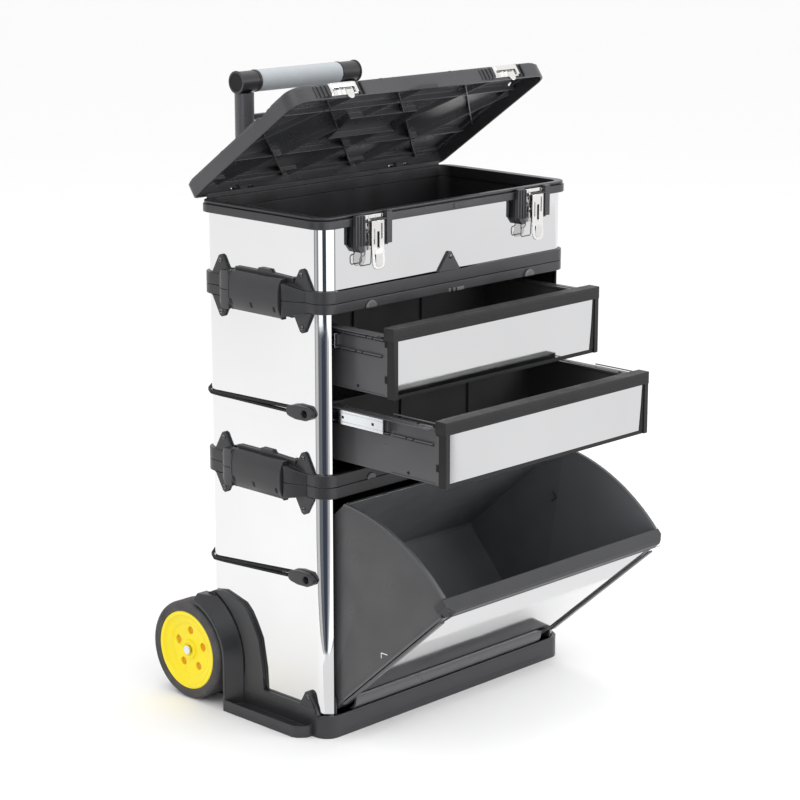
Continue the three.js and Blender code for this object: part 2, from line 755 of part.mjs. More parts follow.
function binSheet() {
  const z0 = BIN.pivotZ + ROLL_RADIUS + 3;
  const z1 = RAIL.bottom - GAP;
  const half = 207.5;
  const points = [
    [-half, z0],
    [half, z0],
    [half, z1 - 26],
    [half - 18, z1],
    [-half + 18, z1],
    [-half, z1 - 26],
  ];
  return prismY(points, BIN.front - GAP - SHEET, BIN.front - GAP);
}

function binRail() {
  const profile = [
    [RAIL.front, RAIL.bottom + 6],
    [RAIL.front + 4, RAIL.bottom],
    [RAIL.back, RAIL.bottom],
    [RAIL.back, RAIL.top],
    [RAIL.front + 2, RAIL.top],
    [RAIL.front, RAIL.top - 2],
  ];
  const [half, chamfer] = [216, 12];
  const plan = [
    [-half, RAIL.back],
    [-half, RAIL.front + chamfer],
    [-half + chamfer, RAIL.front],
    [half - chamfer, RAIL.front],
    [half, RAIL.front + chamfer],
    [half, RAIL.back],
  ];
  return prismX(profile, -half, half).intersect(prismZ(outline(plan), RAIL.bottom, RAIL.top));
}

// ---- Handle ----
function outerTube(x) {
  const { y, tubeRadius } = HANDLE;
  return cut(rodZ(x, y, tubeRadius, 4.4, 610), rodZ(x, y, HANDLE.postRadius + GAP, 3, 611));
}
function handlePost(x) {
  const { y, postRadius } = HANDLE;
  return cut(rodZ(x, y, postRadius, 300, HANDLE.z - 14.8), rodZ(x, y, postRadius - 2, 299, 840));
}
function crossbar() {
  const { y, z, half } = HANDLE;
  const tee = (x0, x1) => rodX(y, z, 14.5, x0, x1);
  const bar = join(rodX(y, z, 11.7, -half, half), tee(-half, -77), tee(77, half));
  return cut(bar, rodX(y, z, 9.6, -half - 1, half + 1));
}
const grip = () => cut(rodX(HANDLE.y, HANDLE.z, 15, -76.6, 76.6), rodX(HANDLE.y, HANDLE.z, 12.2, -80, 80));

function tubeBrace() {
  const { y, tubeRadius, postX } = HANDLE;
  const ringRadius = tubeRadius + 5;
  const collar = (x) => rodZ(x, y, ringRadius, 566, 596);
  const bore = (x) => rodZ(x, y, tubeRadius + 0.6, 560, 600);
  return cut(
    join(plate(postX, y - 7, y + 7, 568, 594), collar(-postX), collar(postX)),
    bore(-postX),
    bore(postX),
  );
}

// ---- Elastic straps: two strands from a toggle on one side, round behind the handle tubes, to the other ----
const STRAND_X = STEEL.width / 2 + GAP + STRAND_RADIUS + 0.2;
const TUBE_BACK = HANDLE.y + HANDLE.tubeRadius + STRAND_RADIUS + 2.6;
// Half of a strand's route seen from above, from the left toggle to the middle of the back.
const HALF_ROUTE = [
  [-STRAND_X, -50],
  [-STRAND_X, -20],
  [-STRAND_X, 20],
  [-STRAND_X, 60],
  [-STRAND_X - 0.6, 86],
  [-232.5, 104],
  [-223, 118],
  [-196, 138],
  [-152, 169],
  [-124, 188.5],
  [-108, 197],
  [-90, TUBE_BACK],
  [-50, TUBE_BACK],
];

function strand({ front, back }, spread) {
  const half = HALF_ROUTE.map(([x, y]) => {
    const blend = THREE.MathUtils.clamp((y + 50) / 150, 0, 1);
    const offset = spread * THREE.MathUtils.lerp(1, 0.4, blend);
    return new THREE.Vector3(x, y, front + (back - front) * blend + offset);
  });
  const mirroredHalf = half.map((p) => new THREE.Vector3(-p.x, p.y, p.z)).reverse();
  const route = new THREE.CatmullRomCurve3([...half, ...mirroredHalf], false, "centripetal");
  const section = outline(circle(0, 0, STRAND_RADIUS, 6));
  return solidOf(new THREE.ExtrudeGeometry(section, { steps: STRAND_STEPS, extrudePath: route }));
}
// The strands lie against each other at the back and spread to the toggles.
const strap = (levels) => join(strand(levels, 3), strand(levels, -3));

function toggle(side, z) {
  const eye = -84;
  const profile = [
    [-50.4, z - 5],
    [-50.4, z + 5],
    [-56, z + 7.5],
    [-68, z + 9.5],
    [-86, z + 9],
    [-95, z + 5],
    [-98.5, z + 1.5],
    [-98.5, z - 1.5],
    [-95, z - 5],
    [-86, z - 9],
    [-68, z - 9.5],
    [-56, z - 7.5],
  ];
  const inner = STEEL.width / 2 + GAP;
  const body = cut(prismX(profile, inner, inner + 8), rodX(eye, z, 5, 225, 245, 14));
  return side > 0 ? body : body.mirror([1, 0, 0]);
}

// ---- Assembly ----
place(cart, "base", base(), PLASTIC);
place(cart, "axle", axle(), ZINC);
place(cart, "lower_steel_wrap", cut(steelWrap(LOWER.floor, LOWER.bandLow - GAP, true), cabinetBay()), STAINLESS);
place(cart, "lower_carcass", lowerCarcass(), PLASTIC);
place(cart, "middle_steel_wrap", steelWrap(MIDDLE.bandTop + GAP, MIDDLE.bandLow - GAP, true), STAINLESS);
place(cart, "middle_carcass", middleCarcass(), PLASTIC);
place(cart, "top_steel_wrap", steelWrap(UPPER.bandTop + GAP, UPPER.steelTop, false), STAINLESS);
place(cart, "top_tub", topTub(), PLASTIC);
place(cart, "top_rim", topRim(), PLASTIC);

for (const [name, side] of SIDES) {
  const wheel = new THREE.Group();
  wheel.position.set(side * (WHEEL.inner + wheelWidth / 2), WHEEL.y, WHEEL.z);
  wheel.rotation.z = side < 0 ? 0 : Math.PI;
  cart.add(wheel);
  place(wheel, `tyre_${name}`, tyre(), RUBBER);
  place(wheel, `hub_${name}`, hub(), YELLOW);
}

// Pieces made shut, in a group that turns them open round a hinge along X.
function hinged(y, z, degrees) {
  const turning = new THREE.Group();
  turning.position.set(0, y, z);
  turning.rotation.x = THREE.MathUtils.degToRad(degrees);
  const inside = new THREE.Group();
  inside.position.set(0, -y, -z);
  turning.add(inside);
  cart.add(turning);
  return inside;
}

const openLid = hinged(LID_HINGE.y, LID_HINGE.z, -LID_HINGE.open);
place(openLid, "lid", lid(), PLASTIC);
for (const [name, side] of SIDES) {
  const x = side * LATCH_X;
  place(openLid, `lid_catch_${name}`, lidCatch(x), CHROME);
  place(cart, `hinge_pin_${name}`, rodX(LID_HINGE.y, LID_HINGE.z, 2, side * hingeMiddle - 17, side * hingeMiddle + 17, 12), ZINC);
  place(cart, `latch_bracket_${name}`, latchBracket(x), PLASTIC);
  place(cart, `latch_plate_${name}`, latchPlate(x), CHROME);
  place(cart, `latch_lever_${name}`, latchLever(x), CHROME);
  place(cart, `latch_bail_${name}`, latchBail(x), CHROME);
  place(cart, `upper_clamp_${name}`, sideClamp(side, (MIDDLE.top + UPPER.bottom) / 2), PLASTIC);
  place(cart, `lower_clamp_${name}`, sideClamp(side, (LOWER.top + MIDDLE.bottom) / 2), PLASTIC);
  place(cart, `upper_toggle_${name}`, toggle(side, STRAPS.upper.front), PLASTIC);
  place(cart, `lower_toggle_${name}`, toggle(side, STRAPS.lower.front), PLASTIC);
  place(cart, `handle_post_${name}`, handlePost(side * HANDLE.postX), PLASTIC);
  place(cart, `handle_tube_${name}`, outerTube(side * HANDLE.postX), PLASTIC);
}

for (const [level, drawer] of Object.entries(DRAWERS)) {
  const slide = drawer.bottom + DRAWER.slideUp;
  const out = new THREE.Group();
  out.position.y = FRONT - drawer.out;
  cart.add(out);
  place(out, `${level}_drawer_tray`, drawerTray(drawer), GLOSS_PLASTIC);
  place(out, `${level}_drawer_frame`, drawerFrame(drawer), GLOSS_PLASTIC);
  place(out, `${level}_drawer_panel`, drawerPanel(drawer), STAINLESS);
  for (const [name, side] of SIDES) {
    place(cart, `${level}_slide_rail_${name}`, slideRail(side, slide), ZINC);
    const member = place(cart, `${level}_slide_member_${name}`, slideMember(side, slide), ZINC);
    member.position.y = -drawer.memberOut;
  }
}

const openBin = hinged(BIN.pivotY, BIN.pivotZ, BIN.open);
place(openBin, "bin_tub", binTub(), GLOSS_PLASTIC);
place(openBin, "bin_steel_front", binSheet(), STAINLESS);
place(openBin, "bin_rail", binRail(), PLASTIC);

place(cart, "handle_crossbar", crossbar(), PLASTIC);
place(cart, "handle_grip", grip(), FOAM);
place(cart, "tube_brace", tubeBrace(), PLASTIC);
place(cart, "upper_strap", strap(STRAPS.upper), CORD);
place(cart, "lower_strap", strap(STRAPS.lower), CORD);

export default cart;
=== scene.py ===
"""Looks of the rolling tool cart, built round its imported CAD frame.

Lengths in the shape code are millimetres in the frame's own axes: +X is the right of someone facing
the drawers, the drawers open towards -Y and +Z is up. They are turned into metres where a mesh is made.
"""

import json
import math

import bmesh
import bpy
from mathutils import Matrix, Vector


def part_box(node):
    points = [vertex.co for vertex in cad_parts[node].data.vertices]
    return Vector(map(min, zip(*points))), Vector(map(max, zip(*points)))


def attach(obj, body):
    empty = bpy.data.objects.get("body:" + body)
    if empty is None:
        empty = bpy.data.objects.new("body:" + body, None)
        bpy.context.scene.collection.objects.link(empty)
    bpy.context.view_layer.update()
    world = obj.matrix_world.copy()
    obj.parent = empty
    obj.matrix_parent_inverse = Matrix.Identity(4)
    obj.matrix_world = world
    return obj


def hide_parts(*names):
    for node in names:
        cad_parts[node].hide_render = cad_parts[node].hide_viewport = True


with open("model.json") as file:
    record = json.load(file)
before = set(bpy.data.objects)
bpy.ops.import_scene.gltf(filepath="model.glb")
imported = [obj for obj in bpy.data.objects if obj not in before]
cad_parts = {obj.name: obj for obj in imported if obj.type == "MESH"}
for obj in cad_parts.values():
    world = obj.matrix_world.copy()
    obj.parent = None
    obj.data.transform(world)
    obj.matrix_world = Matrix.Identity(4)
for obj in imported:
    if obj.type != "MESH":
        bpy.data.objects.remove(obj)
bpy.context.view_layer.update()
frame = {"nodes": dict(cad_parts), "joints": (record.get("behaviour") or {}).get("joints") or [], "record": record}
RECORD = frame["record"]
NODE_BODY = {node: body for body, nodes in RECORD["behaviour"]["bodies"].items() for node in nodes}
NODE_SLOT = {part["node"]: part["material_slot"] for part in RECORD["subparts"]}
JOINTS = {joint["name"]: joint for joint in frame["joints"]}
MM = 0.001
SIDES = (("left", -1), ("right", 1))
STACK = "cabinet_stack"


def span(node):
    """A CAD node's box in millimetres: ((x0, x1), (y0, y1), (z0, z1))."""
    low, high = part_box(node)
    return tuple((a / MM, b / MM) for a, b in zip(low, high))


def across(side, near, far):
    """The x range between two distances from the middle of the cart, on the side -1 or 1."""
    return sorted((side * near, side * far))


def circle(u, v, radius, steps):
    """Points round (u, v), without a repeat of the first."""
    turns = [2 * math.pi * i / steps for i in range(steps)]
    return [(u + radius * math.cos(turn), v + radius * math.sin(turn)) for turn in turns]


def arc(u, v, radius, start, end, steps):
    """Points round (u, v), both ends included, angles in degrees."""
    turns = [math.radians(start + (end - start) * i / steps) for i in range(steps + 1)]
    return [(u + radius * math.cos(turn), v + radius * math.sin(turn)) for turn in turns]


# ---- Camera, lights and floor ----
def add_camera():
    """Stands 3.2 m away in front and to the left, looking a little down."""
    data = bpy.data.cameras.new("camera")
    data.lens = 105.7
    data.sensor_width = 36
    data.clip_end = 50
    camera = bpy.data.objects.new("camera", data)
    camera.location = (-2.2397, -2.2126, 1.1681)
    camera.rotation_euler = (math.radians(76.31), 0, math.radians(-45.64))
    bpy.context.scene.collection.objects.link(camera)
    bpy.context.scene.camera = camera


def add_light(name, place, target, size, power, colour=(1, 1, 1)):
    data = bpy.data.lights.new(name, "AREA")
    data.shape = "RECTANGLE"
    data.size, data.size_y = size
    data.energy = power
    data.color = colour
    lamp = bpy.data.objects.new(name, data)
    lamp.location = place
    lamp.rotation_euler = (Vector(target) - Vector(place)).to_track_quat("-Z", "Y").to_euler()
    bpy.context.scene.collection.objects.link(lamp)
    return lamp


def emission_material(name, colour, strength):
    material = bpy.data.materials.new(name)
    material.use_nodes = True
    nodes = material.node_tree.nodes
    nodes.clear()
    emission = nodes.new("ShaderNodeEmission")
    emission.inputs["Color"].default_value = (*colour, 1)
    emission.inputs["Strength"].default_value = strength
    output = nodes.new("ShaderNodeOutputMaterial")
    material.node_tree.links.new(emission.outputs[0], output.inputs[0])
    return material


def plane(name, corners, material):
    """A flat sheet that belongs to the studio, not to the cart."""
    mesh = bpy.data.meshes.new(name)
    mesh.from_pydata([Vector(corner) for corner in corners], [], [range(len(corners))])
    made = bpy.data.objects.new(name, mesh)
    made.data.materials.append(material)
    bpy.context.scene.collection.objects.link(made)
    return made


def add_studio():
    """A white room: an even world, a pale floor, three area lights and the cards for the steel."""
    world = bpy.data.worlds.new("studio")
    world.use_nodes = True
    background = world.node_tree.nodes["Background"]
    background.inputs["Color"].default_value = (1, 1, 1, 1)
    background.inputs["Strength"].default_value = 1.0
    bpy.context.scene.world = world
    bpy.context.scene.view_settings.view_transform = "Standard"

    pale = bpy.data.materials.new("floor_pale")
    pale.use_nodes = True
    shader = pale.node_tree.nodes["Principled BSDF"]
    shader.inputs["Base Color"].default_value = (0.97, 0.97, 0.97, 1)
    shader.inputs["Roughness"].default_value = 0.7
    shader.inputs["Specular IOR Level"].default_value = 0.1
    reach = 12
    corners = [(x * reach, y * reach, 0) for x, y in ((-1, -1), (1, -1), (1, 1), (-1, 1))]
    plane("floor", corners, pale)

    add_light("key", (-2.0, -0.6, 2.6), (0, 0, 0.4), (1.6, 1.6), 8)
    add_light("top", (0.2, 0.3, 3.0), (0, 0, 0.5), (2.2, 2.2), 18)
    add_light("front", (1.1, -2.3, 1.0), (0, -0.1, 0.35), (1.2, 1.2), 26)
    add_cards()


def glossy_only(card):
    """Hides a card from everything but mirror reflections."""
    for ray in ("visible_camera", "visible_diffuse", "visible_shadow", "visible_transmission"):
        setattr(card, ray, False)


def add_cards():
    """Cards that only mirrors see: they draw the stripes down the steel's round corners.

    Each fills a range of azimuth round the corner, from a height to a height, and the lowest ones run
    inwards along the floor, narrowing, so that the stripes taper towards the base.
    """
    corner, distance, near = (-0.21, -0.1), 0.9, 0.34
    apex, narrowing = 218, 0.3
    split, tall = 0.37, 1.5
    stripes = (
        # name, first and last azimuth, bottom, top, colour, strength
        ("grey_side", 142, 149, 0, split, (0.34, 0.34, 0.35), 1),
        ("pale_side", 149, 171, 0, split, (0.62, 0.62, 0.63), 1),
        ("dim_side", 171, 197, 0, split, (0.16, 0.17, 0.18), 1),
        ("navy", 197, 228, 0, split, (0.05, 0.058, 0.09), 1),
        ("dim_front", 228, 239, 0, split, (0.2, 0.2, 0.21), 1),
        ("pale_front", 239, 252, 0, split, (0.55, 0.55, 0.56), 1),
        ("lit_front", 252, 299, 0, split, (1, 1, 1), 1.4),
        ("grey_front", 301, 309, 0, split, (0.42, 0.42, 0.44), 1),
        ("top_grey_side", 142, 149, split, tall, (0.2, 0.2, 0.21), 1),
        ("top_pale_side", 149, 165, split, tall, (0.55, 0.55, 0.56), 1),
        ("top_dim_side", 165, 179, split, tall, (0.3, 0.3, 0.32), 1),
        ("top_lit_side", 179, 209, split, tall, (0.95, 0.99, 1.0), 1.3),
        ("top_navy", 209, 236, split, tall, (0.05, 0.06, 0.085), 1),
        ("top_lit_front", 236, 296, split, tall, (0.97, 0.99, 1.0), 1.4),
        ("top_grey_front", 298, 310, split, tall, (0.4, 0.4, 0.41), 1),
    )

    def spot(azimuth, reach):
        turn = math.radians(azimuth)
        return (corner[0] + reach * math.cos(turn), corner[1] + reach * math.sin(turn))

    for name, start, end, low, high, colour, strength in stripes:
        material = emission_material("card_" + name, colour, strength)
        far = [spot(start, distance), spot(end, distance)]
        wall = [(*far[0], low), (*far[1], low), (*far[1], high), (*far[0], high)]
        glossy_only(plane("card_" + name, wall, material))
        if low == 0:
            root = [spot(apex + narrowing * (azimuth - apex), near) for azimuth in (start, end)]
            floor = [(*root[0], 0.001), (*root[1], 0.001), (*far[1], 0.001), (*far[0], 0.001)]
            glossy_only(plane("card_floor_" + name, floor, material))
    paper = emission_material("card_paper", (0.87, 0.87, 0.88), 1)
    sheet = [(x, y, 0.0006) for x, y in ((-0.5, -0.14), (-0.5, -3.4), (3.4, -3.4), (3.4, -0.14))]
    glossy_only(plane("card_paper", sheet, paper))


# ---- Materials ----
class Recipe:
    """A node material made step by step; every pattern is laid in object space."""

    def __init__(self, name):
        self.material = bpy.data.materials.new(name)
        self.material.use_nodes = True
        self.tree = self.material.node_tree
        self.shader = self.tree.nodes["Principled BSDF"]
        self.place = self.tree.nodes.new("ShaderNodeTexCoord").outputs["Object"]

    def link(self, source, target):
        self.tree.links.new(source, target)

    def mapped(self, stretch):
        node = self.tree.nodes.new("ShaderNodeMapping")
        node.inputs["Scale"].default_value = stretch
        self.link(self.place, node.inputs["Vector"])
        return node.outputs["Vector"]

    def noise(self, scale, detail=2.0, stretch=(1, 1, 1)):
        node = self.tree.nodes.new("ShaderNodeTexNoise")
        node.inputs["Scale"].default_value = scale
        node.inputs["Detail"].default_value = detail
        self.link(self.mapped(stretch), node.inputs["Vector"])
        return node.outputs["Fac"]

    def cells(self, scale, stretch=(1, 1, 1)):
        node = self.tree.nodes.new("ShaderNodeTexVoronoi")
        node.inputs["Scale"].default_value = scale
        self.link(self.mapped(stretch), node.inputs["Vector"])
        return node.outputs["Distance"]

    def ramp(self, factor, low, high, start=0.3, end=0.7):
        node = self.tree.nodes.new("ShaderNodeMapRange")
        node.inputs["From Min"].default_value = start
        node.inputs["From Max"].default_value = end
        node.inputs["To Min"].default_value = low
        node.inputs["To Max"].default_value = high
        self.link(factor, node.inputs["Value"])
        return node.outputs["Result"]

    def mix(self, factor, first, second):
        node = self.tree.nodes.new("ShaderNodeMix")
        node.data_type = "RGBA"
        self.link(factor, node.inputs["Factor"])
        for value, socket in ((first, node.inputs["A"]), (second, node.inputs["B"])):
            if isinstance(value, tuple):
                socket.default_value = (*value, 1)
            else:
                self.link(value, socket)
        return node.outputs["Result"]

    def bump(self, height, strength, distance, under=None):
        node = self.tree.nodes.new("ShaderNodeBump")
        node.inputs["Strength"].default_value = strength
        node.inputs["Distance"].default_value = distance
        self.link(height, node.inputs["Height"])
        if under is not None:
            self.link(under, node.inputs["Normal"])
        return node.outputs["Normal"]

    def edges(self, start=0.52, end=0.62):
        """1 along outer edges, where wear and painted highlight brighten the plastic, 0 elsewhere."""
        node = self.tree.nodes.new("ShaderNodeNewGeometry")
        return self.ramp(node.outputs["Pointiness"], 0, 1, start, end)

    def set(self, **sockets):
        for name, value in sockets.items():
            socket = self.shader.inputs[name.replace("_", " ").title().replace("Ior", "IOR")]
            if isinstance(value, (int, float)):
                socket.default_value = value
            elif isinstance(value, tuple):
                socket.default_value = (*value, 1)
            else:
                self.link(value, socket)


def shade(colour, factor):
    return tuple(min(1.0, c * factor) for c in colour)


def plastic(name, colour, rough, grain, edge_brightening=1.6, tone=0.14):
    """Moulded plastic: uneven tone, fine texture, dust in the roughness, and outer edges brightened both as wear
    and as painted highlight.
    """
    r = Recipe(name)
    body = r.mix(r.ramp(r.noise(14, 3), 0, 1), shade(colour, 1 - tone), shade(colour, 1 + tone))
    # Outer edges are painted lighter: partly wear, partly painted highlight along the edges.
    wear_and_highlight_edges = r.mix(r.edges(), body, shade(colour, edge_brightening))
    bumps = r.bump(r.noise(2600, 2), grain, 0.0002)
    waves = r.bump(r.noise(22, 1), 0.12, 0.0015, bumps)
    r.set(
        base_color=wear_and_highlight_edges,
        roughness=r.ramp(r.noise(30, 4), rough[0], rough[1]),
        normal=waves,
    )
    return r.material


def sheet_steel(name, colour, rough, waviness, line=0.05):
    """Rolled steel sheet: long faint waves, fine drawing lines and wiped smudges."""
    r = Recipe(name)
    tint = r.mix(r.ramp(r.noise(5, 3), 0, 1), shade(colour, 0.97), shade(colour, 1.02))
    waves = r.bump(r.noise(5.5, 1.5), waviness, 0.004)
    lines = r.bump(r.noise(60, 2, (1, 1, 34)), line, 0.0001, waves)
    smudge = r.ramp(r.noise(11, 5), rough[0], rough[1], 0.35, 0.75)
    r.set(base_color=tint, metallic=1.0, roughness=smudge, normal=lines)
    return r.material


PLASTICS = {
    # colour, roughness range, grain, brightening of outer edges as wear and painted highlight, unevenness of tone
    "dark_plastic": ((0.024, 0.024, 0.0265), (0.28, 0.4), 0.2),
    "gloss_plastic": ((0.058, 0.058, 0.061), (0.26, 0.4), 0.06, 1.6, 0.12),
    "painted_tube": ((0.05, 0.05, 0.055), (0.22, 0.34), 0.1, 2.0),
    "yellow_plastic": ((0.93, 0.76, 0.002), (0.3, 0.45), 0.1, 1.05, 0.05),
    # Near-black sheets put in slots, holes and gaps: painted shade.
    "gap_painted_shade": ((0.006, 0.006, 0.007), (0.45, 0.6), 0.1, 1.4),
    # Lighter copies of the plastic for the insides of the trays and the bin: painted light.
    "tray_inside_painted_light": ((0.066, 0.066, 0.066), (0.3, 0.45), 0.05, 1.4, 0.1),
    "bin_inside_painted_light": ((0.17, 0.176, 0.188), (0.3, 0.42), 0.05, 1.3, 0.1),
    # The lid is a lighter copy of the dark plastic: painted light and reflection for its upturned faces.
    "lid_shell_painted_light": ((0.046, 0.046, 0.05), (0.24, 0.36), 0.15, 1.5),
    "drawer_bar": ((0.013, 0.013, 0.0135), (0.4, 0.55), 0.15, 1.8),
    # A darker orange than the hub's yellow, for the floors of its holes: painted shade.
    "hub_hole_shade": ((0.72, 0.3, 0.0), (0.4, 0.5), 0.05, 1.05, 0.05),
    # A paler grey than the dark plastic, raised for lighter highlights: painted highlight.
    "bumper_highlight": ((0.11, 0.11, 0.115), (0.2, 0.3), 0.05, 1.4, 0.1),
}
STEELS = {
    # colour, roughness range, waviness, depth of the drawing lines
    "stainless": ((0.81, 0.81, 0.812), (0.03, 0.08), 0.06),
    "chrome": ((0.86, 0.85, 0.83), (0.05, 0.14), 0.3, 0.02),
    "zinc_steel": ((0.78, 0.8, 0.82), (0.16, 0.32), 0.2, 0.3),
    "screw": ((0.2, 0.2, 0.21), (0.3, 0.45), 0.1, 0.1),
    "wire": ((0.22, 0.22, 0.23), (0.2, 0.35), 0.1, 0.1),
}
DULL = ("drawer_bar", "gap_painted_shade")


def make_materials():
    made = {name: plastic(name, *values) for name, values in PLASTICS.items()}
    made.update({name: sheet_steel(name, *values) for name, values in STEELS.items()})
    for name in DULL:
        shader = made[name].node_tree.nodes["Principled BSDF"]
        shader.inputs["Specular IOR Level"].default_value = 0.25

    r = Recipe("tyre")
    grey = (0.062, 0.058, 0.06)
    tone = r.mix(r.ramp(r.noise(35, 4), 0, 1), shade(grey, 0.75), shade(grey, 1.25))
    dusty = r.mix(r.ramp(r.noise(420, 3), 0, 0.5, 0.6, 0.75), tone, (0.2, 0.19, 0.185))
    r.set(
        base_color=dusty,
        roughness=r.ramp(r.noise(90, 3), 0.62, 0.85),
        normal=r.bump(r.noise(1500, 3), 0.35, 0.0003),
    )
    made["tyre"] = r.material

    r = Recipe("foam")
    grey = (0.47, 0.5, 0.525)
    tone = r.mix(r.ramp(r.noise(60, 4), 0, 1), shade(grey, 0.97), shade(grey, 1.03))
    pores = r.mix(r.ramp(r.cells(1500), 1, 0, 0.0, 0.3), tone, shade(grey, 0.82))
    soft = r.bump(r.noise(160, 3), 0.1, 0.0008)
    r.set(base_color=pores, roughness=0.92, normal=r.bump(r.cells(1500), 0.25, 0.0002, soft))
    made["foam"] = r.material

    r = Recipe("cord")
    black = (0.012, 0.012, 0.013)
    braid = r.cells(1100, (1, 1, 1.4))
    r.set(
        base_color=r.mix(r.ramp(braid, 0, 1, 0.1, 0.5), shade(black, 2.4), black),
        roughness=r.ramp(r.noise(300, 2), 0.7, 0.9),
        normal=r.bump(braid, 0.6, 0.0004),
    )
    made["cord"] = r.material
    return made


MATERIALS = make_materials()


# ---- Making pieces ----
def new_object(name, mesh, slot, body, replaced=(), look=None):
    """A piece on a body. Its look is its slot's material unless it has a look of its own."""
    made = bpy.data.objects.new(name, mesh)
    bpy.context.scene.collection.objects.link(made)
    mesh.materials.clear()
    mesh.materials.append(MATERIALS[look or slot])
    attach(made, body)
    if replaced:
        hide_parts(*replaced)
    return made


def soften(made, width, segments=2, corner=38):
    """Rounds the piece's sharp edges and keeps its flat faces flat in the shading."""
    mesh = made.data
    mesh.polygons.foreach_set("use_smooth", [True] * len(mesh.polygons))
    if width:
        bevel = made.modifiers.new("edges", "BEVEL")
        bevel.width = width * MM
        bevel.segments = segments
        bevel.limit_method = "ANGLE"
        bevel.angle_limit = math.radians(corner)
        bevel.use_clamp_overlap = False
    else:
        mesh.set_sharp_from_angle(angle=math.radians(corner))
    normals = made.modifiers.new("flat_faces", "WEIGHTED_NORMAL")
    normals.keep_sharp = True


def refine(node, width):
    """The CAD piece with its edges rounded."""
    mesh = frame["nodes"][node].data.copy()
    work = bmesh.new()
    work.from_mesh(mesh)
    bmesh.ops.remove_doubles(work, verts=work.verts, dist=2e-5)
    bmesh.ops.dissolve_limit(work, angle_limit=math.radians(1), verts=work.verts, edges=work.edges)
    work.to_mesh(mesh)
    work.free()
    for layer in [a.name for a in mesh.attributes if a.name.startswith("custom_normal")]:
        mesh.attributes.remove(mesh.attributes[layer])
    made = new_object(node + "_skin", mesh, NODE_SLOT[node], NODE_BODY[node], (node,), LOOK.get(node))
    if node in PAINTED_LIGHT_INSIDE:
        paint_light_inside(made, *PAINTED_LIGHT_INSIDE[node])
    soften(made, width)
    return made


def paint_light_inside(made, look, floor):
    """Paints the faces above floor that look into a tray or tub with a lighter copy of their plastic: painted
    light on the insides.
    """
    mesh = made.data
    mesh.materials.append(MATERIALS[look])
    low = Vector([min(v.co[i] for v in mesh.vertices) for i in range(3)])
    high = Vector([max(v.co[i] for v in mesh.vertices) for i in range(3)])
    middle = (low + high) / 2
    for face in mesh.polygons:
        if face.center.z > floor * MM and face.normal.dot(middle - face.center) > 0:
            face.material_index = 1


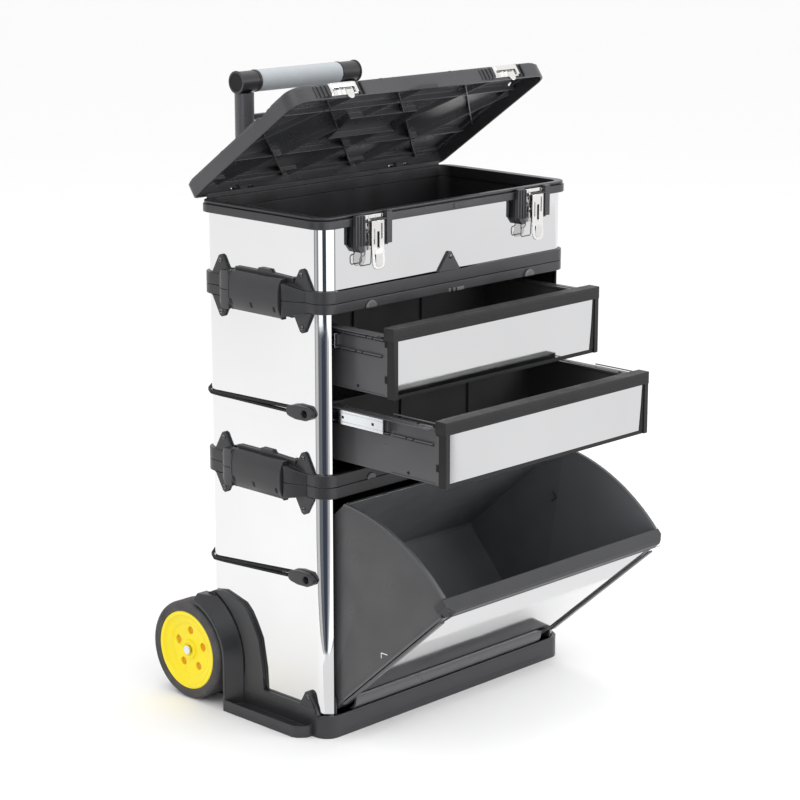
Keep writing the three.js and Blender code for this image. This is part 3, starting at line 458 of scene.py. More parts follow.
class Shape:
    """Collects prisms, boxes and turned forms, in millimetres, into one mesh."""

    ORDER = {"x": (2, 0, 1), "y": (0, 2, 1), "z": (0, 1, 2)}

    def __init__(self):
        self.mesh = bmesh.new()

    def prism(self, points, axis, start, end):
        """An outline, (y, z) for axis x, (x, z) for y and (x, y) for z, pulled from start to end."""
        order = self.ORDER[axis]
        rings = []
        for along in (start, end):
            flat = [(u, v, along) for u, v in points]
            rings.append([self.mesh.verts.new([p[i] for i in order]) for p in flat])
        count = len(points)
        self.mesh.faces.new(rings[0])
        self.mesh.faces.new(rings[1])
        for i in range(count):
            j = (i + 1) % count
            self.mesh.faces.new((rings[0][i], rings[0][j], rings[1][j], rings[1][i]))
        return self

    def box(self, x0, x1, y0, y1, z0, z1):
        return self.prism([(x0, y0), (x1, y0), (x1, y1), (x0, y1)], "z", z0, z1)

    def turned(self, profile, centre, axis, steps=48):
        """Closed (radius, along) profile turned round the axis through centre."""
        order = self.ORDER[axis]
        rings = []
        for i in range(steps):
            angle = 2 * math.pi * i / steps
            ring = []
            for radius, along in profile:
                flat = (radius * math.cos(angle), radius * math.sin(angle), along)
                ring.append(self.mesh.verts.new([centre[k] + flat[order[k]] for k in range(3)]))
            rings.append(ring)
        count = len(profile)
        for i in range(steps):
            for k in range(count):
                near, far = rings[i], rings[(i + 1) % steps]
                m = (k + 1) % count
                self.mesh.faces.new((near[k], near[m], far[m], far[k]))
        return self

    def disc(self, centre, axis, radius, thickness, steps=20):
        """A low round head: a short cylinder whose first face is at centre."""
        order = self.ORDER[axis]
        u, v, along = [centre[order.index(k)] for k in range(3)]
        return self.prism(circle(u, v, radius, steps), axis, along, along + thickness)

    def loop(self, outer, inner, z0, z1):
        """An upright wall between two outlines with as many points, seen from above."""
        count = len(outer)
        rings = []
        for points, z in ((outer, z0), (outer, z1), (inner, z1), (inner, z0)):
            rings.append([self.mesh.verts.new((x, y, z)) for x, y in points])
        for k in range(4):
            near, far = rings[k], rings[(k + 1) % 4]
            for i in range(count):
                j = (i + 1) % count
                self.mesh.faces.new((near[i], near[j], far[j], far[i]))
        return self

    def wire(self, points, radius, steps=10):
        """A round wire along points."""
        path = [Vector(point) for point in points]
        rings = []
        side = None
        for i, point in enumerate(path):
            ahead = path[min(i + 1, len(path) - 1)] - path[max(i - 1, 0)]
            ahead.normalize()
            guess = side if side is not None else Vector((0, 1, 0))
            side = (guess - ahead * guess.dot(ahead)).normalized()
            up = ahead.cross(side)
            ring = []
            for k in range(steps):
                turn = 2 * math.pi * k / steps
                away = math.cos(turn) * side + math.sin(turn) * up
                ring.append(self.mesh.verts.new(point + radius * away))
            rings.append(ring)
        for near, far in zip(rings, rings[1:]):
            for k in range(steps):
                m = (k + 1) % steps
                self.mesh.faces.new((near[k], near[m], far[m], far[k]))
        self.mesh.faces.new(rings[0])
        self.mesh.faces.new(rings[-1])
        return self

    def swing(self, pivot, degrees):
        """Turns everything so far about the X axis through pivot (y, z)."""
        about = Matrix.Translation((0, *pivot)) @ Matrix.Rotation(math.radians(degrees), 4, "X")
        about = about @ Matrix.Translation((0, -pivot[0], -pivot[1]))
        bmesh.ops.transform(self.mesh, matrix=about, verts=self.mesh.verts)
        return self

    def to_data(self, name):
        """Closes the work and returns it as mesh data in metres."""
        bmesh.ops.recalc_face_normals(self.mesh, faces=self.mesh.faces)
        bmesh.ops.scale(self.mesh, vec=(MM, MM, MM), verts=self.mesh.verts)
        data = bpy.data.meshes.new(name)
        self.mesh.to_mesh(data)
        self.mesh.free()
        return data

    def done(self, name, slot, body, width=0.5, segments=2, replaced=(), corner=38, look=None):
        made = new_object(name, self.to_data(name), slot, body, replaced, look)
        soften(made, width, segments, corner)
        return made


def carve(made, cutter_shape):
    """Cuts a Shape out of a piece. The piece loses its modifiers, so it is softened again afterwards."""
    cutter = bpy.data.objects.new("cutter", cutter_shape.to_data("cutter"))
    bpy.context.scene.collection.objects.link(cutter)
    made.modifiers.clear()
    cutting = made.modifiers.new("cut", "BOOLEAN")
    cutting.operation = "DIFFERENCE"
    cutting.solver = "EXACT"
    cutting.object = cutter
    bpy.context.view_layer.update()
    graph = bpy.context.evaluated_depsgraph_get()
    mesh = bpy.data.meshes.new_from_object(made.evaluated_get(graph))
    made.modifiers.clear()
    made.data = mesh
    bpy.data.objects.remove(cutter)
    if not mesh.polygons:
        raise RuntimeError(made.name + " is empty after a cut: the cutter overlaps itself")


# ---- Wheels ----
def wheel(name, side):
    """A solid tyre with a rounded tread on a hub with five round holes."""
    body = "wheel_" + name
    (x0, x1), _, (low, high) = span("tyre_" + name)
    _, y, z = [c / MM for c in JOINTS["wheel_spin_" + name]["pos_m"]]
    width, radius = x1 - x0, (high - low) / 2
    outer_face = x0 if side < 0 else x1
    hole_ring = 26.5
    first_hole = math.radians(90)

    def at(depth):
        return outer_face - side * depth

    def hub_holes(depth, hole_radius, thickness):
        shape = Shape()
        for step in range(5):
            turn = first_hole + math.radians(72 * step)
            centre = (at(depth), y + hole_ring * math.cos(turn), z + hole_ring * math.sin(turn))
            shape.disc(centre, "x", hole_radius, -side * thickness)
        return shape

    seat = 55.3
    # Radius and depth in from the outer face, from the hub to the middle of the tread.
    half = [
        (seat, 1.6),
        (seat + 1.4, 0.7),
        (seat + 4, 0.5),
        (seat + 5, 0.9),
        (seat + 6, 0.4),
        (radius - 5.2, 0.1),
        (radius - 2.6, 1.2),
        (radius - 0.9, 3.4),
        (radius, 6.4),
        (radius, 15.4),
        (radius - 0.7, 16),
        (radius, 16.6),
    ]
    whole = half + [(r, width - depth) for r, depth in reversed(half)]
    tyre = Shape().turned([(r, at(depth)) for r, depth in whole], (0, y, z), "x", 72)
    tyre.done("tyre_skin_" + name, "tyre", body, 0, replaced=("tyre_" + name,))

    # Radius and depth again, out from the axle over the outer face and back along the inside.
    rim = [
        (5.3, 6.5),
        (8.2, 6.4),
        (9.2, 5.2),
        (12.2, 5.2),
        (13.6, 8.4),
        (17, 9.6),
        (34.5, 9.6),
        (36.5, 9.0),
        (38.4, 7.2),
        (41, 6.6),
        (46, 5.6),
        (48.5, 3.0),
        (50, 1.5),
        (54.2, 1.1),
        (55, 2.0),
        (55, 37.5),
        (51, 38),
        (49.5, 14.5),
        (14, 14.5),
        (12, 38),
        (5.3, 38),
    ]
    hub = Shape().turned([(r, at(depth)) for r, depth in rim], (0, y, z), "x", 72)
    hub = hub.done("hub_skin_" + name, "yellow_plastic", body, 0, replaced=("hub_" + name,))
    carve(hub, hub_holes(4, 5.6, 9))
    soften(hub, 0.7, 2, 50)
    # The hole floors take the darker orange: painted shade in the recesses.
    floors = hub_holes(12.2, 5.4, 0.5)
    floors.done("hub_hole_floors_" + name, "yellow_plastic", body, 0, look="hub_hole_shade")


# ---- Steel cladding ----
def cladding_line(half, deep, corner, opening):
    """The cladding's line seen from above; with an opening it starts and ends at the front opening."""
    u, v = half - corner, deep - corner
    first = -90 if opening is None else -math.degrees(math.acos((opening - u) / corner))
    points = []
    corners = ((u, -v, first, 0), (u, v, 0, 90), (-u, v, 90, 180), (-u, -v, 180, 180 - first))
    for x, y, start, end in corners:
        points += arc(x, y, corner, start, end, 14)
    return points


def steel_wrap(level, opening):
    """A box's steel sheet, closed round it or open at the front; the bottom one is cut for the wheels."""
    node = level + "_steel_wrap"
    (x0, x1), (_, y1), (z0, z1) = span(node)
    half, corner, sheet = (x1 - x0) / 2, 20, 1
    outer = cladding_line(half, y1, corner, opening)
    inner = cladding_line(half - sheet, y1 - sheet, corner - sheet, opening)
    wall = Shape()
    if opening is None:
        wall.loop(outer, inner, z0, z1)
    else:
        wall.prism(outer + inner[::-1], "z", z0, z1)
    made = wall.done(node + "_skin", "stainless", STACK, 0, replaced=(node,), corner=50)
    if level == "lower":
        _, y, z = [c / MM for c in JOINTS["wheel_spin_left"]["pos_m"]]
        reach = 77.5
        bay = [*arc(y, z, reach, 0, 180, 40), (y - reach, -1), (y + reach, -1)]
        carve(made, Shape().prism(bay, "x", -300, 300))
        soften(made, 0, corner=50)


# ---- Small fittings ----
def screws(name, places, axis, out, radius=3.1):
    """Domed screw heads with a drive recess, facing along axis towards out (1 or -1)."""
    index = "xyz".index(axis)
    profile = [(0.4, 0.9), (1.2, 0.9), (1.4, 1.7), (2.2, 1.5)]
    profile += [(radius, 0.5), (radius, -0.2), (0.4, -0.2)]
    heads = Shape()
    for place in places:
        along = [(r, place[index] + out * h) for r, h in profile]
        centre = [0 if i == index else c for i, c in enumerate(place)]
        heads.turned(along, centre, axis, 20)
    return heads.done(name, "zinc_steel", STACK, 0, look="screw")


def stack_screws():
    """Nine screws on each side, at the plates' tips and the base's tab, and one in front."""
    bottom, top = span("middle_carcass")[2]
    gaps = [(bottom + span("lower_carcass")[2][1]) / 2, (top + span("top_tub")[2][0]) / 2]
    face = span("lower_steel_wrap")[0][1] + 3.9
    tips = [(y, gap + rise) for gap in gaps for rise in (-33.5, 35) for y in (-77, 77)]
    for side_name, side in SIDES:
        places = [(side * face, y, z) for y, z in tips] + [(side * (face + 1.4), -83, 53)]
        screws("side_screws_" + side_name, places, "x", side)
    screws("crest_screw", [(-3, -119.4, 618)], "y", -1)


def front_bumpers():
    """Half-round soft bumpers and small catches along the front bands, and the seal behind the rim."""
    front = span("middle_carcass")[1][0]
    top, low = span("middle_carcass")[2][1] - 13, span("lower_carcass")[2][1]
    upper, lower = Shape(), Shape()
    for x in (-153, 153):
        upper.prism(arc(x, top + 0.4, 10, 0, 180, 16), "y", front - 3.4, front + 0.2)
        lower.prism(arc(x, low + 0.4, 8, 0, 180, 14), "y", front - 2.2, front + 0.2)
    # These take a paler grey than the dark plastic: painted highlight.
    upper.done("upper_bumpers", "dark_plastic", STACK, 1.8, 4, look="bumper_highlight")
    lower.done("lower_bumpers", "dark_plastic", STACK, 1.2, 3, look="bumper_highlight")
    catch = Shape()
    for x0, x1 in ((-8, -4), (1, 5), (8, 22)):
        catch.box(x0, x1, front - 1.2, front + 0.2, top + 0.3, top + 5)
    catch.done("drawer_catch", "dark_plastic", STACK, 0.5, look="bumper_highlight")
    rim_front, (rim_low, _) = span("top_rim")[1][0], span("top_rim")[2]
    keeper = Shape().box(2, 34, rim_front - 0.8, rim_front + 0.2, rim_low + 2, rim_low + 9)
    keeper.box(12, 14, rim_front - 1.1, rim_front, rim_low + 3.5, rim_low + 7.5)
    keeper.done("rim_keeper", "dark_plastic", STACK, 0.3)
    seal = Shape().box(-222, 222, 115.6, 117.4, 693.8, 699.6)
    seal.done("rim_seal", "dark_plastic", STACK, 0.4)


# ---- Side clamps ----
def side_clamp(node, side):
    """The clamp's curved cover, with a raised lip at each end and three slots low down, drawn as dark sheets of
    painted shade.
    """
    (x0, x1), (y0, y1), (z0, z1) = span(node)
    inner, outer = sorted((abs(x0), abs(x1)))
    lip, flare = 2.1, 0.7
    deep, height, steps = outer - inner - 1.6, z1 - z0, 14

    def face(t):
        """How far out the cover reaches at the share t of its height, from the top."""
        return inner + deep * (1 - 0.55 * abs(2 * t - 0.95) ** 3)

    def line(raised, short):
        """The cover's outline, raised from its face and cut short at both ends."""
        points = [(side * inner, z1 - short)]
        for i in range(steps + 1):
            drop = (height - 2 * short) * i / steps
            points.append((side * (face(i / steps) + raised), z1 - short - drop))
        return points + [(side * inner, z0 + short)]

    cover = Shape().prism(line(0, 0.4), "y", y0 + 3.4, y1 - 0.4)
    cover.prism(line(lip, 0), "y", y0, y0 + 3.6)
    cover.prism(line(flare, 0.2), "y", y1 - 2.4, y1)
    cover.done(node + "_skin", "dark_plastic", NODE_BODY[node], 0.7, 3, replaced=(node,), corner=50)
    # The slots are near-black sheets just proud of the cover: painted shade.
    slots = Shape()
    drops = (37, 39, 41, 43, 44)
    outline = [(side * (face(drop / height) + 0.25), z1 - drop) for drop in drops]
    outline += [(side * (inner + 1), z1 - drops[-1]), (side * (inner + 1), z1 - drops[0])]
    for y in (-39, 4.5, 43):
        slots.prism(outline, "y", y - 1.8, y + 1.8)
    slots.done(node + "_slots", "dark_plastic", NODE_BODY[node], 0, look="gap_painted_shade")


# ---- Front latches ----
LATCH_X = 154
LEVER_FACE = -132.5


def latch_plate(name, side):
    """The chrome plate behind the lever: a sheet with upright flanges and punched holes."""
    x = side * LATCH_X
    (left, right), (y0, y1), (z0, z1) = span("latch_plate_" + name)
    sheet = Shape().box(left, right, y1 - 1, y1, z0, z1)
    for x0, x1 in ((left, left + 3), (right - 3, right), (x - 4.5, x - 1), (x + 8, x + 11)):
        sheet.box(x0, x1, y0, y1 - 0.9, z0 + 1, z1 - 1)
    plate = sheet.done("latch_plate_skin_" + name, "chrome", STACK, 0, replaced=("latch_plate_" + name,))
    holes = Shape()
    for dx, dz, w, h in ((-11, 27, 4, 7), (-11, 14, 4, 6), (4, 30, 5, 5), (15.5, 22, 3, 9), (4, 8, 5, 8)):
        u, v = x + dx, z0 + dz
        holes.box(u - w / 2, u + w / 2, y0 - 2, y1 - 0.3, v - h / 2, v + h / 2)
    carve(plate, holes)
    soften(plate, 0.25)


def latch_bracket(name):
    """The ribbed plastic block beside the plate, cut away at its outer side and lower corner."""
    ribs = Shape()
    (left, _), (front, _), (low, high) = span("latch_bracket_" + name)
    for step in range(3):
        rib = left + 3 + 5.2 * step
        ribs.box(rib + 3, rib + 5.2, front - 1.5, front + 0.3, low + 8, high - 1.5)
    ribs.done("latch_ribs_" + name, "dark_plastic", STACK, 0.7)
    bracket = refine("latch_bracket_" + name, 0.4)
    wall, back = -121.4, -115
    waist = [(left - 2, front - 1), (left + 2.6, front - 1), (left + 2.6, wall)]
    waist += [(left + 7, wall), (left + 7, back), (left - 2, back)]
    carve(bracket, Shape().prism(waist, "z", low - 1, high + 1))
    corner = [(left - 2, low - 1), (left - 2, low + 9), (left + 4, low + 9), (left + 12, low - 1)]
    carve(bracket, Shape().prism(corner, "y", front - 2, back))
    soften(bracket, 0.4)


def latch_lever(name):
    """The slotted lever, bent outwards towards its tip, with its ears, thumb press and pin."""
    lever, body, y = "latch_lever_" + name, "latch_" + name, LEVER_FACE
    (x0, x1), _, (tip, top) = span(lever)
    middle, round_off, bend = (x0 + x1) / 2, 8, top - 36
    outline = [(x0, top - 2), (x0, bend), *arc(x0 + round_off, tip + round_off, round_off, 180, 270, 6)]
    outline += [*arc(x1 - round_off, tip + round_off, round_off, 270, 360, 6), (x1, bend), (x1, top - 2)]
    tongue = Shape().prism(outline, "y", y, y + 1.5)
    bmesh.ops.bisect_plane(
        tongue.mesh,
        geom=tongue.mesh.verts[:] + tongue.mesh.edges[:] + tongue.mesh.faces[:],
        plane_co=(0, 0, bend),
        plane_no=(0, 0, 1),
    )
    for vert in tongue.mesh.verts:
        if vert.co.z < bend:
            vert.co.y -= 2 * (bend - vert.co.z) / (bend - tip)
    ear = [(y + 0.5, top - 2), (y + 6, top - 0.6), (y + 10, top - 1.5), (y + 9.4, top - 17)]
    ear.append((y + 0.5, top - 24))
    for start in (x0, x1 - 1.5):
        tongue.prism(ear, "x", start, start + 1.5)
    made = tongue.done("latch_lever_skin_" + name, "chrome", body, 0, replaced=(lever,))
    slots = Shape().box(middle - 1.6, middle + 2.6, y - 4, y + 2, bend - 2, top - 16)
    slots.box(middle - 8, middle - 5.5, y - 4, y + 2, bend + 4, top - 12)
    slots.box(middle + 5.5, middle + 8, y - 4, y + 2, bend + 10, top - 6)
    carve(made, slots)
    soften(made, 0.35)
    thumb = [(middle - 6, tip + 20), *arc(middle, tip + 9, 6, 180, 360, 10), (middle + 6, tip + 20)]
    Shape().prism(thumb, "y", y - 2.1, y - 1.4).done("latch_press_" + name, "chrome", body, 0.4)
    pin = [(1.7, x0 - 1), (3, x0 - 1), (3, x0 + 2.2), (1.7, x0 + 2.2)]
    Shape().turned(pin, (0, -124.5, 684), "x", 20).done("latch_pin_" + name, "chrome", body, 0.3)


def latch_bail(name, side):
    """The wire that hangs beside the lever, with a cranked left leg, leaning back as it falls."""
    x, bail = side * LATCH_X, "latch_bail_" + name
    start = span("latch_lever_" + name)[0][0] - 0.5
    foot = span(bail)[2][0] + 1.2
    _, back, high = [c / MM for c in JOINTS["bail_hang_" + name]["pos_m"]]
    hanging = (
        (-14.5, high - 1),
        (-14.5, 643),
        (-16, 640.6),
        (-21.5, 639.6),
        (-23, 637.5),
        (-23, foot + 2),
        (-21, foot),
        (-5, foot),
        (-3, foot + 2),
    )
    line = [(start, back, high), (x - 13.5, back, high)]
    for index, (reach, z) in enumerate(hanging):
        lean = 2 * (high - z) / (high - foot) if index else 0
        line.append((x + reach, back + lean, z))
    line.append((x - 3, back, high))
    wire = Shape().wire(line, 0.8)
    skin = "latch_bail_skin_" + name
    wire.done(skin, "chrome", "bail_" + name, 0, replaced=(bail,), corner=60, look="wire")


def latch_shadow(name):
    """Painted shadow: dark sheets in the gaps behind the lever's slots."""
    (x0, x1), _, (_, top) = span("latch_lever_" + name)
    middle, bend, y = (x0 + x1) / 2, top - 36, LEVER_FACE
    dark = Shape().box(middle - 3, middle + 3.6, y + 1.8, y + 2.6, bend - 1, top - 15)
    dark.box(x0 + 1.6, x0 + 2.4, y + 1.7, y + 6, bend + 2, top - 8)
    dark.done("latch_shadow_" + name, "dark_plastic", "latch_" + name, 0, look="gap_painted_shade")


# ---- Lid fittings, shaped with the lid shut and turned open with it ----
LID_PIVOT = (126, 696)
LID_OPEN = JOINTS["lid_hinge"]["range_deg"][0]


def lid_catch(name, side):
    """The chrome catch on the lid's front edge, the dark gaps in it painted as shade, and the ribbed block beside
    it.
    """
    x, front, skirt = side * LATCH_X, -121.3, -120.9
    plate = Shape().box(x - 24, x + 24, front - 1.2, front, 697.5, 714)
    for x0, x1 in ((x - 24, x - 20), (x - 9, x - 6.5), (x - 1, x + 1.5), (x + 19, x + 24)):
        plate.box(x0, x1, front - 3.2, front - 1, 699, 714)
    hook = [(front - 3.4, 707), (front - 5.2, 711), (front - 3.4, 714.4)]
    hook += [(front, 714.4), (front, 712), (front - 1.4, 707)]
    plate.prism(hook, "x", x - 20, x + 20)
    tongue = [(x + 3, 699), *arc(x + 9, 697.4, 6, 180, 360, 12), (x + 15, 699)]
    plate.prism(tongue, "y", front - 1.7, front - 0.5)
    plate.swing(LID_PIVOT, LID_OPEN)
    plate.done("lid_catch_skin_" + name, "chrome", "lid", 0.35, replaced=("lid_catch_" + name,))

    # Near-black strips in the catch's gaps: painted shade.
    gaps = Shape()
    for start, end in ((x - 19.6, x - 18), (x - 6, x - 5), (x + 2.5, x + 3.6), (x + 17, x + 18.4)):
        gaps.box(start, end, front - 1.5, front - 1.1, 699.5, 711)
    gaps.box(x - 18, x + 17, front - 3.6, front - 3.2, 706, 706.7)
    gaps.swing(LID_PIVOT, LID_OPEN)
    gaps.done("lid_catch_gaps_" + name, "chrome", "lid", 0, look="gap_painted_shade")

    block = Shape()
    for step in range(4):
        slope = step * 1.1
        left = x - 49 + 6 * step
        rib = [(skirt, 696), (-122 - slope, 697.5), (-122 - slope, 712), (skirt, 714)]
        groove = [(skirt, 697), (-121.6 - slope, 698), (-121.6 - slope, 711), (skirt, 713)]
        block.prism(rib, "x", left, left + 5.2)
        block.prism(groove, "x", left + 5, left + 6.2)
    block.box(x + 25, x + 27, -124.6, skirt, 696, 714)
    block.box(x + 32, x + 35, -124.6, skirt, 695.5, 714)
    block.swing(LID_PIVOT, LID_OPEN)
    block.done("lid_catch_block_" + name, "dark_plastic", "lid", 0.5)


def lid_step():
    """The shallow raised step in the middle of the lid's front edge."""
    step = Shape().prism([(-40, 694.6), (-14, 699.5), (16, 699.5), (16, 694.6)], "y", -122.6, -120.9)
    step.swing(LID_PIVOT, LID_OPEN)
    step.done("lid_front_step", "dark_plastic", "lid", 0.6)


# ---- Drawer fittings ----
DRAWER_HALF = 197.5


def drawer_side(level, side_name, side):
    """The ledges, slots and screw hole moulded on one side of a drawer; the slots and hole are dark sheets of
    painted shade, and a dark strip under each ledge run is a painted shadow.
    """
    body = level + "_drawer"
    _, (front, _), (bottom, _) = span(body + "_frame")
    slide = bottom + 65
    inside = DRAWER_HALF - 0.5
    ledges, holes = Shape(), Shape()
    for z, runs in (
        (slide + 9.5, ((19, 36), (38.5, 47), (50, 92), (95, 140))),
        (slide - 11.5, ((22, 54), (57, 66), (69, 93), (98, 150))),
    ):
        for start, end in runs:
            ledges.box(*across(side, inside, DRAWER_HALF + 3), front + start, front + end, z, z + 2)
            # A near-black strip under each ledge run: painted shadow.
            holes.box(*across(side, inside, DRAWER_HALF + 0.4), front + start, front + end + 1, z - 2, z)
    ledges.box(*across(side, inside, DRAWER_HALF + 1.1), front + 19, front + 96, bottom + 3, bottom + 4.5)
    ledges.box(*across(side, inside, DRAWER_HALF + 1.3), front + 14, front + 92, slide + 15.5, slide + 17)
    for reach, rise in ((20, 75.5), (47, 74.5), (54, 52.5), (66, 52.5)):
        y, z = front + reach, bottom + rise
        holes.box(*across(side, inside, DRAWER_HALF + 0.35), y, y + 4, z, z + 3)
    for z in (bottom + 20, bottom + 66):
        holes.box(*across(side, inside, DRAWER_HALF + 1), front + 13.5, front + 17.5, z, z + 9)
    holes.prism(circle(front + 66, bottom + 9, 2.2, 12), "x", *across(side, inside, DRAWER_HALF + 0.3))
    ledges.done(f"{body}_ledges_{side_name}", "gloss_plastic", body, 0.4)
    holes.done(f"{body}_slots_{side_name}", "gloss_plastic", body, 0, look="gap_painted_shade")


def drawer_details(level):
    """A drawer's side mouldings, top flanges, ribbed bar, corner gap painted as a dark sheet of shade, and divider
    slots.
    """
    body = level + "_drawer"
    _, (front, _), (bottom, top) = span(body + "_frame")
    for side_name, side in SIDES:
        drawer_side(level, side_name, side)
    _, (_, tray_back), (_, tray_top) = span(body + "_tray")
    for side_name, side in SIDES:
        edge = across(side, 203, 210.3)
        flange = Shape().box(*edge, front + 20, tray_back, tray_top - 1.25, tray_top - 0.15)
        flange.done(f"{body}_flange_{side_name}", "gloss_plastic", body, 0.2)
    ribs = Shape()
    for drop in (4, 7, 10, 13):
        ribs.box(-198, 198, front - 0.5, front + 0.2, top - drop - 1.2, top - drop)
    ribs.done(body + "_bar_ribs", "gloss_plastic", body, 0.3, look="drawer_bar")
    lip = Shape().box(-186, 186, front + 18.2, front + 19.4, top - 1.6, top - 0.3)
    lip.done(body + "_bar_lip", "gloss_plastic", body, 0.3)
    # A near-black wedge in the corner gap: painted shade.
    wedge = [(184, bottom + 5.5), (191.2, bottom + 5.5), (191.2, top - 17)]
    wedge += [(189.4, top - 17), (187.5, bottom + 40)]
    gap = Shape().prism(wedge, "y", front + 1.6, front + 2.4)
    gap.done(body + "_corner_gap", "gloss_plastic", body, 0, look="gap_painted_shade")
    dividers = Shape()
    for x in (-66, 66):
        dividers.box(x - 1, x + 1, front + 22, front + 24, bottom + 6, top - 14)
        dividers.box(x - 1, x + 1, front + 206, front + 209.6, bottom + 6, top - 14)
    dividers.done(body + "_divider_slots", "gloss_plastic", body, 0.3)


def slide_details(level, side_name, side):
    """The rolled edges and holes of a zinc slide member."""
    node = f"{level}_slide_member_{side_name}"
    (x0, x1), (y0, y1), (z0, z1) = span(node)
    face = max(abs(x0), abs(x1))
    beads = Shape()
    for z in (z0 + 3, z1 - 4.2):
        beads.box(*across(side, face - 0.1, face + 0.5), y0 + 1, y1 - 1, z, z + 1.2)
    beads.done(node + "_beads", "zinc_steel", level + "_slide", 0.3)
    # The holes are near-black sheets on the slide: painted shade.
    holes = Shape()
    for d in (16, 70, 130):
        holes.box(*across(side, face - 0.2, face + 0.15), y0 + d, y0 + d + 4, z0 + 8, z0 + 11.5)
    holes.done(node + "_holes", "zinc_steel", level + "_slide", 0, look="gap_painted_shade")


# ---- Bin fittings, shaped with the bin shut and turned open with it ----
BIN_PIVOT = (-104, 47)
BIN_OPEN = -JOINTS["bin_tip"]["range_deg"][0]


def bin_details():
    """The bin's folded back edge, curved beads, front lips, small hooks and stays, and its rail's line."""
    edge = Shape().box(-208, 208, 82.3, 85.2, 249.9, 250.9).swing(BIN_PIVOT, BIN_OPEN)
    edge.done("bin_back_edge", "zinc_steel", "bin", 0.2)
    radius = 277
    ring = arc(*BIN_PIVOT, radius - 3.4, 50, 92, 36) + arc(*BIN_PIVOT, radius - 5, 92, 50, 36)
    for side_name, side in SIDES:
        bead = Shape().prism(ring, "x", *across(side, 210.5, 212.2)).swing(BIN_PIVOT, BIN_OPEN)
        bead.done("bin_arc_bead_" + side_name, "gloss_plastic", "bin", 0.3)
        wide = across(side, 210.5, 211.8)
        hook = Shape().box(*wide, -196.4, -195, 129, 137).box(*wide, -207, -196, 135.6, 137)
        hook.done("bin_hook_" + side_name, "zinc_steel", "bin", 0.2)
        wide = across(side, 206.4, 208.6)
        stay = Shape().box(*wide, 28, 38, 196, 198.6).box(*wide, 26, 28.5, 186, 198.6)
        stay.swing(BIN_PIVOT, BIN_OPEN).done("bin_stay_" + side_name, "gloss_plastic", "bin", 0.5)
    for side_name, side in SIDES:
        lip = Shape().box(*across(side, 204, 212.8), -119.3, -116.5, 64, 296).swing(BIN_PIVOT, BIN_OPEN)
        lip.done("bin_front_lip_" + side_name, "gloss_plastic", "bin", 0.5)
    rail = Shape().box(-214, 214, -118.9, -118.3, 311, 312.2).swing(BIN_PIVOT, BIN_OPEN)
    rail.done("bin_rail_line", "dark_plastic", "bin", 0.2)


# ---- Handle and base fittings ----
def handle_details():
    """The rings at the grip's ends, the crossbar's open tube ends with a painted-shade disc inside each, and the
    tie below it.
    """
    _, (y0, y1), (z0, z1) = span("handle_crossbar")
    y, z = (y0 + y1) / 2, (z0 + z1) / 2
    for side_name, side in SIDES:
        ring = [(r, side * x) for r, x in ((11.8, 76.9), (15.3, 76.9), (15.3, 80.5), (11.8, 80.5))]
        ring = Shape().turned(ring, (0, y, z), "x", 40)
        ring.done("grip_ring_" + side_name, "dark_plastic", "handle", 0.5)
        tube = ((12.6, 111), (15.6, 111), (15.6, 112.4), (14.8, 113), (12.6, 112.6))
        tube = Shape().turned([(r, side * x) for r, x in tube], (0, y, z), "x", 40)
        tube.done("bar_end_" + side_name, "dark_plastic", "handle", 0)
        # A near-black disc inside the open tube end: painted shade.
        hollow = Shape().disc((side * 111.8, y, z), "x", 12.7, side * 0.4, 40)
        hollow.done("bar_hollow_" + side_name, "dark_plastic", "handle", 0, look="gap_painted_shade")
    Shape().box(-86, 86, y - 4, y + 4, 780, 788).done("handle_tie", "painted_tube", "handle", 1.2)


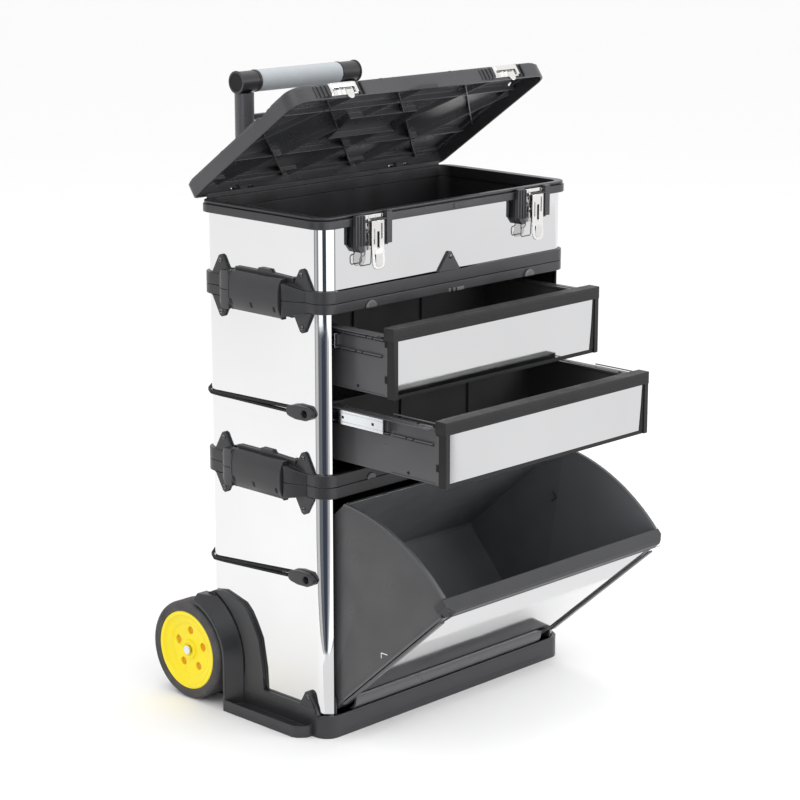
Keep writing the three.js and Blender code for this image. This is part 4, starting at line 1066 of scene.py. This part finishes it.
def base_details():
    """The moulded lines along the base's side runners and front rim."""
    for side_name, side in SIDES:
        lines = Shape().box(*across(side, 236.4, 237.4), -60, 36, 30, 31.6)
        lines.box(*across(side, 257.8, 258.4), -70, 58, 4, 5.4)
        lines.done("base_lines_" + side_name, "dark_plastic", STACK, 0.4)
    front = Shape()
    for z in (7, 26.5):
        front.box(-190, 190, -119.9, -119.3, z, z + 1.2)
    front.done("base_front_lines", "dark_plastic", STACK, 0.2)


# ---- Assembly of the looks ----
# Looks that differ from the slot's material (the lid's is a lighter copy, as painted light), lighter looks painted
# as light on the insides above a height, and edge radii.
LOOK = {"lid": "lid_shell_painted_light", "upper_drawer_frame": "drawer_bar", "lower_drawer_frame": "drawer_bar"}
PAINTED_LIGHT_INSIDE = {
    "bin_tub": ("bin_inside_painted_light", 66),
    "upper_drawer_tray": ("tray_inside_painted_light", 0),
    "lower_drawer_tray": ("tray_inside_painted_light", 0),
}
EDGE = {
    "base": 0.5,
    "top_rim": 0.8,
    "lid": 0.8,
    "lower_carcass": 0.9,
    "middle_carcass": 0.9,
    "top_tub": 0.9,
    "bin_rail": 1.2,
    "bin_tub": 0,
    "handle_crossbar": 0.6,
    "handle_grip": 1.2,
    "axle": 0.8,
}
REPLACED = ["lower_steel_wrap", "middle_steel_wrap", "top_steel_wrap"]
for side_name, _ in SIDES:
    REPLACED += [kind + side_name for kind in ("tyre_", "hub_", "latch_plate_", "latch_lever_")]
    REPLACED += [kind + side_name for kind in ("latch_bail_", "lid_catch_", "latch_bracket_")]
for level in ("upper", "lower"):
    EDGE[level + "_strap"] = 0
    for side_name, _ in SIDES:
        EDGE[f"{level}_toggle_{side_name}"] = 1.6
        REPLACED.append(f"{level}_clamp_{side_name}")

add_camera()
add_studio()
for node in frame["nodes"]:
    if node not in REPLACED:
        refine(node, EDGE.get(node, 0.4))
steel_wrap("lower", 218.2)
steel_wrap("middle", 218.2)
steel_wrap("top", None)
stack_screws()
front_bumpers()
lid_step()
bin_details()
handle_details()
base_details()
for level in ("upper", "lower"):
    drawer_details(level)
    for side_name, side in SIDES:
        slide_details(level, side_name, side)
for side_name, side in SIDES:
    side_clamp("upper_clamp_" + side_name, side)
    side_clamp("lower_clamp_" + side_name, side)
    wheel(side_name, side)
    latch_plate(side_name, side)
    latch_bracket(side_name)
    latch_lever(side_name)
    latch_bail(side_name, side)
    latch_shadow(side_name)
    lid_catch(side_name, side)
